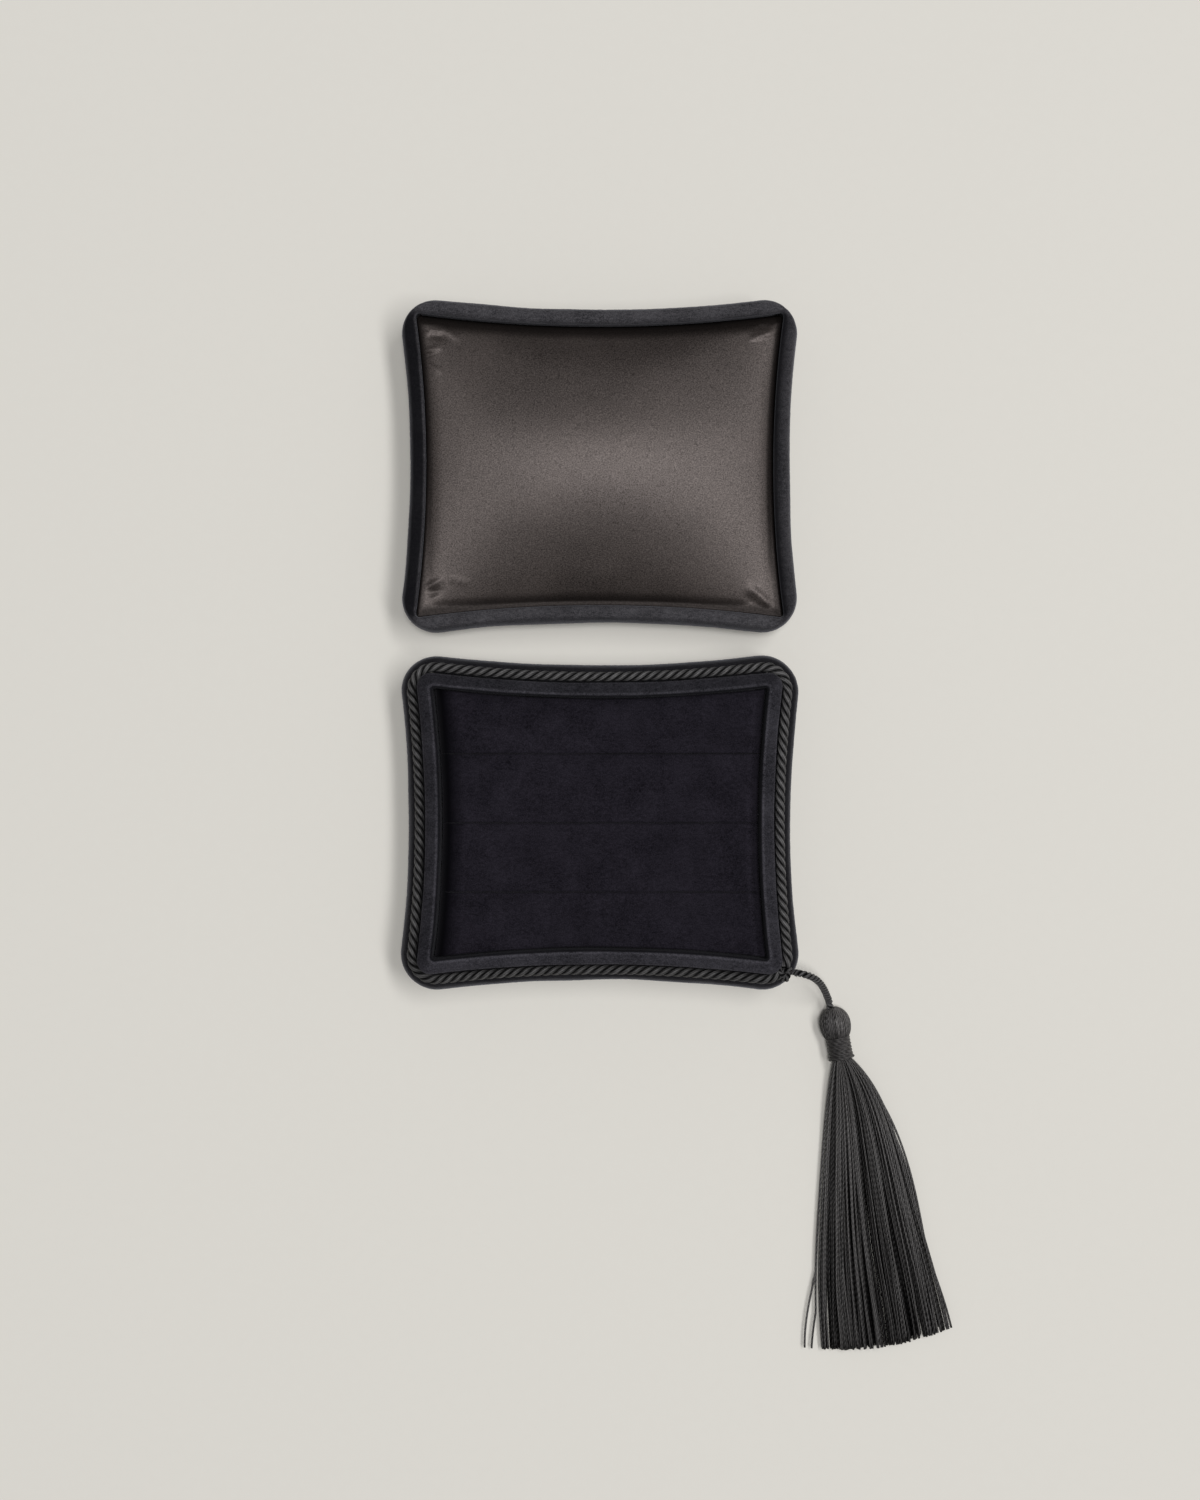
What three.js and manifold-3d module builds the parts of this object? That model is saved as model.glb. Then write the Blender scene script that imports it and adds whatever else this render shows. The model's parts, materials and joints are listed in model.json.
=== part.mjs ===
// A small jewelry case shaped like a pillow, with drawn-in sides. The velvet-covered base carries
// a rope on its ledge, a raised collar and a pad of four ring rolls. The lid is taken off and lies
// upside down behind the base, with a satin cushion inside. A tassel on a short cord hangs from the
// front right corner and lies on the table.
// Millimetres, +Z up. The origin is the middle of the base's underside, +X is to the right, and the
// front of the case faces -Y.
import * as THREE from "three";
import { mergeVertices } from "three/addons/utils/BufferGeometryUtils.js";
import Module from "manifold-3d";

const wasm = await Module();
wasm.setup();

// Outline that both halves share, at the height where they are widest
const caseWidth = 150;
const caseDepth = 126;
const sideDraw = 3;
const frontDraw = 3.7;
const cornerRadius = 13;
const sharpRadius = 1;
const sideSteps = 2;
const cornerSteps = 4;

// Fits
const fitGap = 0.3;
const overrun = 2;

// Sheet materials
const velvetThickness = 0.9;
const panelThickness = 0.8;

// Base half
const baseHeight = 22;
const baseWidestHeight = 14;
const baseFootInset = 6;
const baseRollInset = 2.2;
const baseWadding = 2.1;
const baseBoard = 2.6;
const baseTurnIn = 10;
const panelMargin = 1.5;
const footSteps = 4;
const rollSteps = 2;

// Collar that the lid fits over
const collarWidth = 5.5;
const collarStand = 8.5;
const collarCornerRadius = 5.2;
const collarRound = 1.6;

// Ring pad
const padBoard = 2;
const rollCount = 4;
const rollPitch = 26.2;
const rollSlit = 0.35;
const rollTopDrop = 9.5;
const rollEdgeRound = 1.4;
const rollEndRound = 2;
const rollRoundSteps = 3;

// Rope on the ledge and the knot that joins its ends
const ropeDiameter = 3.7;
const ropeSides = 8;
const ropeToCollar = 1;
const knotDiameter = 6;
const knotInset = 2.6;
const knotBearingDeg = -40;
const knotSides = 16;

// Lid half
const lidHeight = 24;
const lidWidestHeight = 17;
const lidFootInset = 12;
const lidRollInset = 2.5;
const lidSideWadding = 1.4;
const lidTopWadding = 9.5;
const lidBoard = 1.7;
const lidPlate = 1.8;
const lidOpeningRadius = 4;
const lidInnerRound = 1.5;
const lidSpacing = 9.3;

// Satin cushion inside the lid
const cushionBoard = 0.8;
const satinThickness = 0.8;
const cushionEdgeDepth = 8;
const cushionCrown = 4.5;
const cushionEdgeRound = 0.8;
const cushionCrownPower = 3.5;
const cushionRingShares = [0.03, 0.08, 0.16, 0.28, 0.45, 0.7, 1];
const cushionCrownShare = 0.8;

// Tassel
const cordDiameter = 2.6;
const cordSides = 8;
const cordSteps = 20;
const headWidth = 12.6;
const headLength = 13.8;
const headSides = 16;
const headSteps = 7;
const headWrap = 1;
const beadBore = 3;
const tasselTurnDeg = 10.5;
const neckDiameter = 6.6;
const neckReach = 2;
const bindingWire = 1.05;
const bindingPitch = 1.5;
const bindingTurns = 5;
const bindingSides = 6;
const bindingSteps = 24;
const skirtLength = 111;
const skirtWidth = 52;
const skirtTopHeight = 9.6;
const skirtEndHeight = 5;
const skirtFlutes = 12;
const fluteDepth = 0.35;
const skirtSides = 36;
const skirtFlare = 2;
const skirtFlatness = 0.6;

// Route of the tassel's cord from the knot's middle: across, back, and the height as a share of
// the way down from the knot's middle to the head's middle
const cordRoute = [
  [3.3, 0.25, 0],
  [6, 0.1, -0.1],
  [9, -0.8, -0.06],
  [12, -2.6, 0.14],
  [14.5, -5.4, 0.44],
  [16.2, -8.4, 0.76],
  [17.2, -10.5, 0.96],
  [17.85, -12, 1],
  [18.2, -13.9, 1],
];

// Colours and finishes
const velvet = { color: 0x1d1b20, roughness: 0.95, metalness: 0 };
const velvetPad = { color: 0x1f1d23, roughness: 0.95, metalness: 0 };
const board = { color: 0x77716a, roughness: 0.9, metalness: 0 };
const wadding = { color: 0xcfcbc2, roughness: 1, metalness: 0 };
const cord = { color: 0x26242a, roughness: 0.55, metalness: 0 };
const thread = { color: 0x2b292c, roughness: 0.6, metalness: 0 };
const satin = { color: 0x6a6160, roughness: 0.4, metalness: 0 };
const wood = { color: 0xb08a5c, roughness: 0.7, metalness: 0 };

// The outline, pulled in by inset, with its four corners rounded to radius. The long and short
// sides are arcs that keep their centres, so pulled-in outlines stay parallel.
const cornerReachX = caseWidth / 2 - cornerRadius;
const cornerReachY = caseDepth / 2 - cornerRadius;

function sideArcRadius(reach, draw) {
  return (reach ** 2 + (cornerRadius - draw) ** 2 - cornerRadius ** 2) / (2 * draw);
}

const frontArc = sideArcRadius(cornerReachX, frontDraw);
const sideArc = sideArcRadius(cornerReachY, sideDraw);
const frontCentre = new THREE.Vector2(0, caseDepth / 2 - frontDraw + frontArc);
const sideCentre = new THREE.Vector2(caseWidth / 2 - sideDraw + sideArc, 0);

function cornerCentre(inset, radius) {
  const fromFront = frontArc + inset + radius;
  const fromSide = sideArc + inset + radius;
  const between = sideCentre.clone().sub(frontCentre);
  const distance = between.length();
  const along = (fromFront ** 2 - fromSide ** 2 + distance ** 2) / (2 * distance);
  const across = Math.sqrt(fromFront ** 2 - along ** 2);
  between.normalize();
  const foot = frontCentre.clone().addScaledVector(between, along);
  const offset = new THREE.Vector2(between.y, -between.x);
  return foot.addScaledVector(offset, across);
}

function arcPoints(centre, radius, from, to, steps) {
  return Array.from({ length: steps + 1 }, (unused, k) => {
    const angle = from + ((to - from) * k) / steps;
    return new THREE.Vector2(Math.cos(angle), Math.sin(angle)).multiplyScalar(radius).add(centre);
  });
}

function bearing(from, to) {
  return Math.atan2(to.y - from.y, to.x - from.x);
}

function outlineQuarter(inset, radius) {
  const corner = cornerCentre(inset, radius);
  const sideEnd = Math.PI - Math.asin(corner.y / (sideArc + inset + radius));
  const frontStart = Math.asin(corner.x / (frontArc + inset + radius)) - Math.PI / 2;
  const side = arcPoints(sideCentre, sideArc + inset, Math.PI, sideEnd, sideSteps);
  const from = bearing(corner, sideCentre);
  const round = arcPoints(corner, radius, from, bearing(corner, frontCentre), cornerSteps);
  const front = arcPoints(frontCentre, frontArc + inset, frontStart, -Math.PI / 2, sideSteps);
  return [...side, ...round.slice(1), ...front.slice(1)];
}

function outlineRing(inset, z, radius) {
  const first = outlineQuarter(inset, radius).map((p) => [p.x, p.y]);
  const second = first.map(([x, y]) => [-x, y]).reverse();
  const third = first.map(([x, y]) => [-x, -y]);
  const fourth = first.map(([x, y]) => [x, -y]).reverse();
  const turn = [first, second, third, fourth].flatMap((quarter) => quarter.slice(1));
  return turn.map(([x, y]) => new THREE.Vector3(x, y, z));
}

// A closed solid through a row of rings that all have the same number of points. The ends are
// closed by fans from their middles, or joined to each other where the row is a loop.
function loft(rings, isLoop = false) {
  const count = rings[0].length;
  const points = rings.flat();
  const faces = [];
  const rows = isLoop ? rings.length : rings.length - 1;
  for (let row = 0; row < rows; row += 1) {
    const low = row * count;
    const high = ((row + 1) % rings.length) * count;
    for (let k = 0; k < count; k += 1) {
      const next = (k + 1) % count;
      faces.push(low + k, low + next, high + next);
      faces.push(low + k, high + next, high + k);
    }
  }
  if (!isLoop) {
    const ends = [rings[0], rings[rings.length - 1]];
    ends.forEach((ring, end) => {
      const middle = ring.reduce((sum, p) => sum.add(p), new THREE.Vector3());
      points.push(middle.divideScalar(count));
      const hub = points.length - 1;
      const start = end * (rings.length - 1) * count;
      for (let k = 0; k < count; k += 1) {
        const next = (k + 1) % count;
        const edge = end ? [start + k, start + next] : [start + next, start + k];
        faces.push(hub, ...edge);
      }
    });
  }
  const geometry = new THREE.BufferGeometry().setFromPoints(points);
  geometry.setIndex(faces);
  return geometry;
}

// A solid that follows the case's outline. Each profile point is inset, height and corner radius.
function around(profile, isLoop) {
  return loft(profile.map(([inset, z, radius]) => outlineRing(inset, z, radius)), isLoop);
}

// A quarter of an ellipse that starts upright and ends level, or the other way round
function quarterRound(from, to, steps, startsUpright) {
  return Array.from({ length: steps + 1 }, (unused, k) => {
    const angle = (Math.PI / 2) * (k / steps);
    const rise = Math.sin(angle);
    const lag = 1 - Math.cos(angle);
    const across = startsUpright ? lag : rise;
    const up = startsUpright ? rise : lag;
    return [from[0] + (to[0] - from[0]) * across, from[1] + (to[1] - from[1]) * up];
  });
}

// Solids for cutting and joining
function toSolid(geometry) {
  const bare = geometry.clone();
  bare.deleteAttribute("normal");
  bare.deleteAttribute("uv");
  const merged = mergeVertices(bare);
  return new wasm.Manifold(
    new wasm.Mesh({
      numProp: 3,
      vertProperties: new Float32Array(merged.attributes.position.array),
      triVerts: new Uint32Array(merged.index.array),
    }),
  );
}

function toGeometry(solid) {
  const mesh = solid.getMesh();
  const geometry = new THREE.BufferGeometry();
  geometry.setAttribute("position", new THREE.BufferAttribute(mesh.vertProperties, 3));
  geometry.setIndex(new THREE.BufferAttribute(mesh.triVerts, 1));
  return geometry;
}

function addPiece(parent, name, geometry, finish) {
  geometry.computeVertexNormals();
  const mesh = new THREE.Mesh(geometry, new THREE.MeshStandardMaterial(finish));
  mesh.name = name;
  parent.add(mesh);
  return mesh;
}

// Both halves are layered alike: velvet outside, then wadding, then board. A layer's depth is
// measured in from the velvet's face, and its corners tighten towards the opening.
const collarInset = velvetThickness + baseWadding + baseBoard + 3 * fitGap;
const lidOpeningInset = 2 * velvetThickness + lidSideWadding + lidBoard + 3 * fitGap;

const baseHalf = {
  height: baseHeight,
  widest: baseWidestHeight,
  footInset: baseFootInset,
  rollInset: baseRollInset,
  tighten: (cornerRadius - collarCornerRadius) / collarInset,
};

const lidHalf = {
  height: lidHeight,
  widest: lidWidestHeight,
  footInset: lidFootInset,
  rollInset: lidRollInset,
  tighten: (cornerRadius - lidOpeningRadius) / lidOpeningInset,
};

function layerRadius(half, depth) {
  return Math.max(cornerRadius - half.tighten * depth, sharpRadius);
}

function tightened(half, points) {
  return points.map(([inset, z]) => [inset, z, layerRadius(half, inset)]);
}

// The face of a layer from the underside up to the rim. All layers share one corner at the foot.
function wall(half, depth, footHeight, rimHeight) {
  const radius = layerRadius(half, depth);
  const rimInset = Math.max(half.rollInset, depth);
  const foot = quarterRound([half.footInset, footHeight], [depth, half.widest], footSteps, false);
  const roll = quarterRound([depth, half.widest], [rimInset, rimHeight], rollSteps, true);
  const footWithRadius = foot.map(([inset, z]) => {
    const share = (half.footInset - inset) / (half.footInset - depth);
    return [inset, z, cornerRadius + (radius - cornerRadius) * share];
  });
  return [...footWithRadius, ...tightened(half, roll.slice(1))];
}

function withRadius(points, radius) {
  return points.map(([inset, z]) => [inset, z, radius]);
}

const caseBase = new THREE.Group();

// Underside panel
const panelInset = baseFootInset + panelMargin;
const panelRadius = layerRadius(baseHalf, 0);
const panelProfile = withRadius([[panelInset, 0], [panelInset, panelThickness]], panelRadius);
addPiece(caseBase, "base_underside_panel", around(panelProfile), velvet);

// Base velvet: turned in under the tray, up the wall and over the ledge to the collar
const velvetFloor = panelThickness;
const velvetDepth = velvetThickness;
const ledgeEnd = collarInset - fitGap;
const ledgeRadius = layerRadius(baseHalf, ledgeEnd);
const outerWall = wall(baseHalf, 0, velvetFloor, baseHeight);
const velvetBack = wall(
  baseHalf,
  velvetDepth,
  velvetFloor + velvetThickness,
  baseHeight - velvetThickness,
);
const turnInInset = baseFootInset + baseTurnIn;
const baseVelvetProfile = [
  [turnInInset, velvetFloor, panelRadius],
  ...outerWall,
  [ledgeEnd, baseHeight, ledgeRadius],
  [ledgeEnd, baseHeight - velvetThickness, ledgeRadius],
  ...velvetBack.reverse(),
  [turnInInset, velvetFloor + velvetThickness, panelRadius],
];
addPiece(caseBase, "base_velvet", around(baseVelvetProfile, true), velvet);

// Base tray: board box with a flat floor
const trayDepth = velvetThickness + baseWadding + 2 * fitGap;
const trayBottom = velvetFloor + velvetThickness + fitGap;
const trayTop = baseHeight - velvetThickness - fitGap;
const trayFloor = trayBottom + baseBoard;
const trayRadius = layerRadius(baseHalf, ledgeEnd);
const trayProfile = [
  ...wall(baseHalf, trayDepth, trayBottom, trayTop),
  [ledgeEnd, trayTop, trayRadius],
  [ledgeEnd, trayFloor, trayRadius],
];
addPiece(caseBase, "base_tray", around(trayProfile), board);

// Base wadding: a crescent between the tray's wall and the velvet
const waddingDepth = velvetThickness + fitGap;
const waddingBack = waddingDepth + baseWadding;
const waddingSkip = footSteps / 2;
const baseWaddingProfile = [
  ...wall(baseHalf, waddingDepth, trayBottom, trayTop).slice(waddingSkip),
  ...wall(baseHalf, waddingBack, trayBottom, trayTop).slice(waddingSkip).reverse(),
];
addPiece(caseBase, "base_wadding", around(baseWaddingProfile, true), wadding);

// Collar: a board frame that stands on the tray's floor, wrapped in velvet
const collarTop = baseHeight + collarStand;
const collarInner = collarInset + collarWidth;

function collarProfile(depth, top, round) {
  const outer = collarInset + depth;
  const inner = collarInner - depth;
  const outerRadius = Math.max(collarCornerRadius - depth, sharpRadius);
  const shoulder = top - round;
  const middle = (outer + inner) / 2;
  const outside = quarterRound([outer, shoulder], [middle, top], rollSteps, true);
  const inside = quarterRound([middle, top], [inner, shoulder], rollSteps, false);
  return {
    outside: [[outer, trayFloor, outerRadius], ...withRadius(outside, outerRadius)],
    inside: [...withRadius(inside.slice(1), sharpRadius), [inner, trayFloor, sharpRadius]],
  };
}

const wrap = collarProfile(0, collarTop, collarRound);
const wrapBack = collarProfile(velvetThickness, collarTop - velvetThickness, collarRound);
const collarVelvetProfile = [
  ...wrap.outside,
  ...wrap.inside,
  ...wrapBack.inside.reverse(),
  ...wrapBack.outside.reverse(),
];
addPiece(caseBase, "collar_velvet", around(collarVelvetProfile, true), velvet);

const frameDepth = velvetThickness + fitGap;
const frame = collarProfile(frameDepth, collarTop - frameDepth, collarRound);
const frameProfile = [...frame.outside, ...frame.inside];
addPiece(caseBase, "collar_frame", around(frameProfile, true), board);

// Ring pad: a card, and rolls that fill the collar's opening side by side
const padInset = collarInner + fitGap;
const padTop = trayFloor + padBoard;
const padProfile = withRadius([[padInset, trayFloor], [padInset, padTop]], sharpRadius);
addPiece(caseBase, "ring_pad_board", around(padProfile), board);

const rollTop = collarTop - rollTopDrop;

// A bar across the case with rounded upper edges, trimmed to the collar's opening
function rollSolid(front, back, inward, bottom, top) {
  const low = front + inward;
  const high = back - inward;
  const round = rollEdgeRound - inward / 2;
  const section = new THREE.Shape();
  section.moveTo(low, bottom);
  section.lineTo(high, bottom);
  section.lineTo(high, top - round);
  section.absarc(high - round, top - round, round, 0, Math.PI / 2, false);
  section.absarc(low + round, top - round, round, Math.PI / 2, Math.PI, false);
  section.closePath();
  const bar = new THREE.ExtrudeGeometry(section, {
    depth: caseWidth,
    steps: 1,
    curveSegments: rollRoundSteps,
    bevelEnabled: false,
  });
  bar.translate(0, 0, -caseWidth / 2);
  bar.rotateX(Math.PI / 2);
  bar.rotateZ(Math.PI / 2);
  const inset = padInset + inward;
  const shoulder = top - rollEndRound;
  const topRound = quarterRound([inset, shoulder], [inset + rollEndRound, top], rollRoundSteps, true);
  const block = [[inset, bottom - overrun], ...topRound];
  return toSolid(bar).intersect(toSolid(around(withRadius(block, sharpRadius))));
}

for (let index = 0; index < rollCount; index += 1) {
  const number = index + 1;
  const isFirst = index === 0;
  const isLast = number === rollCount;
  const slit = rollSlit / 2;
  const front = isFirst ? -caseDepth / 2 : (index - rollCount / 2) * rollPitch + slit;
  const back = isLast ? caseDepth / 2 : (number - rollCount / 2) * rollPitch - slit;
  const outside = rollSolid(front, back, 0, padTop, rollTop);
  const hollow = rollSolid(
    front,
    back,
    velvetThickness,
    padTop - overrun,
    rollTop - velvetThickness,
  );
  const coreDepth = velvetThickness + fitGap;
  const core = rollSolid(front, back, coreDepth, padTop, rollTop - coreDepth);
  addPiece(caseBase, `ring_roll_${number}`, toGeometry(outside.subtract(hollow)), velvetPad);
  addPiece(caseBase, `ring_foam_${number}`, toGeometry(core), wadding);
}

// Rope on the ledge, open at the corner where the knot joins its ends
const ropeInset = collarInset - ropeToCollar - ropeDiameter / 2;
const ropeReach = ropeDiameter / 2 / Math.cos(Math.PI / ropeSides);
const ropeHeight = baseHeight + ropeDiameter / 2;
const ropeRadius = cornerRadius - ropeInset;
const ropeProfile = Array.from({ length: ropeSides }, (unused, k) => {
  const angle = (2 * Math.PI * (k + 0.5)) / ropeSides;
  const across = ropeReach * Math.cos(angle);
  return [ropeInset - across, ropeHeight + ropeReach * Math.sin(angle), ropeRadius + across];
});
const knotBearing = THREE.MathUtils.degToRad(knotBearingDeg);
const knotReach = cornerRadius - knotInset;
const knotCentre = new THREE.Vector3(
  cornerReachX + knotReach * Math.cos(knotBearing),
  -cornerReachY + knotReach * Math.sin(knotBearing),
  ropeHeight,
);
const knotRoom = new THREE.CylinderGeometry(
  knotDiameter / 2 + fitGap,
  knotDiameter / 2 + fitGap,
  ropeDiameter + overrun,
  knotSides,
);
knotRoom.rotateX(Math.PI / 2);
knotRoom.translate(knotCentre.x, knotCentre.y, knotCentre.z);
const ropeRing = toSolid(around(ropeProfile, true));
addPiece(caseBase, "edge_rope", toGeometry(ropeRing.subtract(toSolid(knotRoom))), cord);

const knotShape = new THREE.SphereGeometry(knotDiameter / 2, knotSides, knotSides / 2);
knotShape.rotateX(Math.PI / 2);
const knot = addPiece(caseBase, "corner_knot", knotShape, cord);
knot.scale.z = ropeDiameter / knotDiameter;
knot.position.copy(knotCentre);

// Tassel cord: from the knot down to the head, which lies on the table
const headHeight = headWidth / 2;
const cordPoints = cordRoute.map(([across, back, drop]) => {
  const height = knotCentre.z + (headHeight - knotCentre.z) * drop;
  return new THREE.Vector3(knotCentre.x + across, knotCentre.y + back, height);
});
const cordCurve = new THREE.CatmullRomCurve3(cordPoints, false, "centripetal");
const cordSection = new THREE.Shape(
  arcPoints(new THREE.Vector2(), cordDiameter / 2, 0, 2 * Math.PI, cordSides).slice(1),
);
const cordShape = new THREE.ExtrudeGeometry(cordSection, {
  steps: cordSteps,
  extrudePath: cordCurve,
});
addPiece(caseBase, "tassel_cord", cordShape, cord);

// The tassel is built along its own +Y, with the head's middle at the group's origin
const tasselTurn = THREE.MathUtils.degToRad(tasselTurnDeg);
const tassel = new THREE.Group();
const headOffset = headLength / 2 + fitGap;
const cordEnd = cordPoints[cordPoints.length - 1];
tassel.position.set(
  cordEnd.x + headOffset * Math.sin(tasselTurn),
  cordEnd.y - headOffset * Math.cos(tasselTurn),
  headHeight,
);
tassel.rotation.z = Math.PI + tasselTurn;

// A solid of revolution about the tassel's length from pairs of radius and place along it
function turned(profile, sides) {
  const points = profile.map(([radius, along]) => new THREE.Vector2(radius, along));
  return new THREE.LatheGeometry(points, sides);
}

// Points of a half ellipse from one end to the other, stopped short where the neck passes
function headArc(halfWidth, halfLength, mouthRadius) {
  const mouth = Math.asin(mouthRadius / halfWidth);
  return Array.from({ length: headSteps + 1 }, (unused, k) => {
    const angle = Math.PI - mouth - ((Math.PI - mouth) * k) / headSteps;
    return [halfWidth * Math.sin(angle), -halfLength * Math.cos(angle)];
  });
}

const mouthRadius = neckDiameter / 2 + fitGap;
const headOuter = headArc(headWidth / 2, headLength / 2, mouthRadius);
const headInner = headArc(headWidth / 2 - headWrap, headLength / 2 - headWrap, mouthRadius);
const headEnd = headOuter[0][1];
const headProfile = [...headOuter.reverse(), ...headInner];
addPiece(tassel, "tassel_head", turned(headProfile, headSides), thread);

// Bead: bored through for the cord, and cut off level above the neck
const beadRadius = headWidth / 2 - headWrap - fitGap;
const neckTop = headEnd - neckReach;
const beadFloor = neckTop - fitGap;
const beadBoreRadius = beadBore / 2;
const beadTopAngle = Math.asin(beadBoreRadius / beadRadius);
const beadFloorAngle = Math.acos(-beadFloor / beadRadius);
const beadArc = Array.from({ length: headSteps + 1 }, (unused, k) => {
  const angle = beadTopAngle + ((beadFloorAngle - beadTopAngle) * k) / headSteps;
  return [beadRadius * Math.sin(angle), -beadRadius * Math.cos(angle)];
});
const beadProfile = [...beadArc, [beadBoreRadius, beadFloor], beadArc[0]];
addPiece(tassel, "tassel_bead", turned(beadProfile, headSides), wood);

// Binding: one cord wound round the neck, from the head down to the skirt
const bindingRadius = neckDiameter / 2 + fitGap + bindingWire / 2;
const bindingStart = headEnd + fitGap + bindingWire / 2;
const bindingLength = bindingPitch * bindingTurns;
const bindingRings = Array.from({ length: bindingTurns * bindingSteps + 1 }, (unused, k) => {
  const angle = (2 * Math.PI * k) / bindingSteps;
  const along = bindingStart + (bindingPitch * k) / bindingSteps;
  const outward = new THREE.Vector3(Math.cos(angle), 0, Math.sin(angle));
  const forward = new THREE.Vector3(-Math.sin(angle), 0, Math.cos(angle));
  forward.multiplyScalar(bindingRadius).setY(bindingPitch / (2 * Math.PI)).normalize();
  const across = new THREE.Vector3().crossVectors(forward, outward);
  const centre = outward.clone().multiplyScalar(bindingRadius).setY(along);
  return Array.from({ length: bindingSides }, (none, side) => {
    const turn = (2 * Math.PI * side) / bindingSides;
    return centre
      .clone()
      .addScaledVector(outward, (bindingWire / 2) * Math.cos(turn))
      .addScaledVector(across, (bindingWire / 2) * Math.sin(turn));
  });
});
addPiece(tassel, "tassel_binding", loft(bindingRings), cord);

function leastGap(rings, stepsApart) {
  let least = Infinity;
  rings.forEach((ring, index) => {
    rings.slice(index + stepsApart).forEach((other) => {
      ring.forEach((p) => {
        other.forEach((q) => {
          least = Math.min(least, p.distanceTo(q));
        });
      });
    });
  });
  return least;
}

console.log("tassel_binding least gap to itself", leastGap(bindingRings, bindingSteps / 2));

// Skirt: the neck bundle under the binding, then strands of one length that fan out on the table
const skirtStart = bindingStart + bindingLength + bindingWire / 2 + fitGap;
const skirtFanShares = [0.05, 0.17, 0.3, 0.42, 0.58, 0.72, 0.86, 1];
const skirtWidthShares = [0.3, 0.45, 0.55, 0.65, 0.77, 0.85, 0.92, 1];
const skirtLeanShares = [0.01, 0.03, 0.005, -0.006, -0.01, -0.035, -0.05, -0.06];

function roundSection(radius, along) {
  return Array.from({ length: skirtSides }, (unused, k) => {
    const angle = (2 * Math.PI * k) / skirtSides;
    return new THREE.Vector3(radius * Math.cos(angle), along, -radius * Math.sin(angle));
  });
}

function fanSection(index) {
  const share = skirtFanShares[index];
  const halfWidth = (skirtWidth / 2) * skirtWidthShares[index];
  const height = skirtTopHeight + (skirtEndHeight - skirtTopHeight) * Math.sqrt(share);
  const lean = -skirtWidth * skirtLeanShares[index];
  return Array.from({ length: skirtSides }, (unused, k) => {
    const angle = (2 * Math.PI * k) / skirtSides;
    const sine = -Math.sin(angle);
    const flute = fluteDepth * share * Math.cos(skirtFlutes * angle) * Math.max(sine, 0);
    const rise = Math.sign(sine) * Math.abs(sine) ** skirtFlatness;
    const across = lean + halfWidth * Math.cos(angle);
    const bow = Math.sqrt(skirtLength ** 2 - (across * share) ** 2) / skirtLength;
    const along = skirtStart + skirtLength * share * bow;
    return new THREE.Vector3(across, along, (height / 2) * (1 + rise) - headHeight + flute);
  });
}

const skirtRings = [
  roundSection(neckDiameter / 2, neckTop),
  roundSection(neckDiameter / 2, skirtStart),
  roundSection(bindingRadius, skirtStart + skirtFlare),
  ...skirtFanShares.map((share, index) => fanSection(index)),
];
addPiece(tassel, "tassel_skirt", loft(skirtRings), thread);
caseBase.add(tassel);

// Lid half, upside down on its padded top
const caseLid = new THREE.Group();
caseLid.position.y = caseDepth + lidSpacing;

// Lid velvet: over the padded top, up the wall, over the rim and down the inside wall
const lidFloorBottom = velvetThickness + lidTopWadding + 2 * fitGap;
const lidFloorTop = lidFloorBottom + lidPlate;
const lidRimBack = lidHeight - velvetThickness;
const liningInset = lidOpeningInset - velvetThickness;
const rimInnerInset = lidOpeningInset - lidInnerRound;
const innerRound = quarterRound(
  [rimInnerInset, lidHeight],
  [lidOpeningInset, lidHeight - lidInnerRound],
  rollSteps,
  false,
);
const lidLining = tightened(lidHalf, [
  ...innerRound,
  [lidOpeningInset, lidFloorTop],
  [liningInset, lidFloorTop],
  [liningInset, lidRimBack - lidInnerRound / 2],
  [rimInnerInset, lidRimBack],
]);
const lidVelvetProfile = [
  ...wall(lidHalf, 0, 0, lidHeight),
  ...lidLining,
  ...wall(lidHalf, velvetThickness, velvetThickness, lidRimBack).reverse(),
];
addPiece(caseLid, "lid_velvet", around(lidVelvetProfile), velvet);

// Lid wadding: a pillow under the board box, thinner round its walls
const lidWaddingDepth = velvetThickness + fitGap;
const lidWaddingBack = lidWaddingDepth + lidSideWadding;
const lidWaddingRadius = cornerRadius - lidWaddingBack;
const lidWaddingTop = lidRimBack - fitGap;
const lidWaddingFace = wall(lidHalf, lidWaddingDepth, lidWaddingDepth, lidWaddingTop).slice(0, -1);
const lidWaddingEnd = lidWaddingFace[lidWaddingFace.length - 1][1];
const lidWaddingProfile = [
  ...lidWaddingFace,
  [lidWaddingBack, lidWaddingEnd, lidWaddingRadius],
  [lidWaddingBack, lidFloorBottom - fitGap, lidWaddingRadius],
];
addPiece(caseLid, "lid_wadding", around(lidWaddingProfile), wadding);

// Lid shell: board box with straight walls
const shellDepth = lidWaddingBack + fitGap;
const shellRadius = cornerRadius - shellDepth;
const shellInner = liningInset - fitGap;
const shellInnerRadius = layerRadius(lidHalf, shellInner);
const shellProfile = [
  [shellDepth, lidFloorBottom, shellRadius],
  [shellDepth, lidWaddingEnd, shellRadius],
  [shellInner, lidWaddingEnd, shellInnerRadius],
  [shellInner, lidFloorTop - fitGap, shellInnerRadius],
];
addPiece(caseLid, "lid_shell", around(shellProfile), board);

// Satin cushion: satin stretched over a filling and a card, with its crown in the middle
const cushionInset = lidOpeningInset + fitGap;
const cushionRadius = lidOpeningRadius - fitGap;
const cushionEdge = lidHeight - cushionEdgeDepth;

const crownInset = (caseDepth / 2) * cushionCrownShare;

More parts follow.
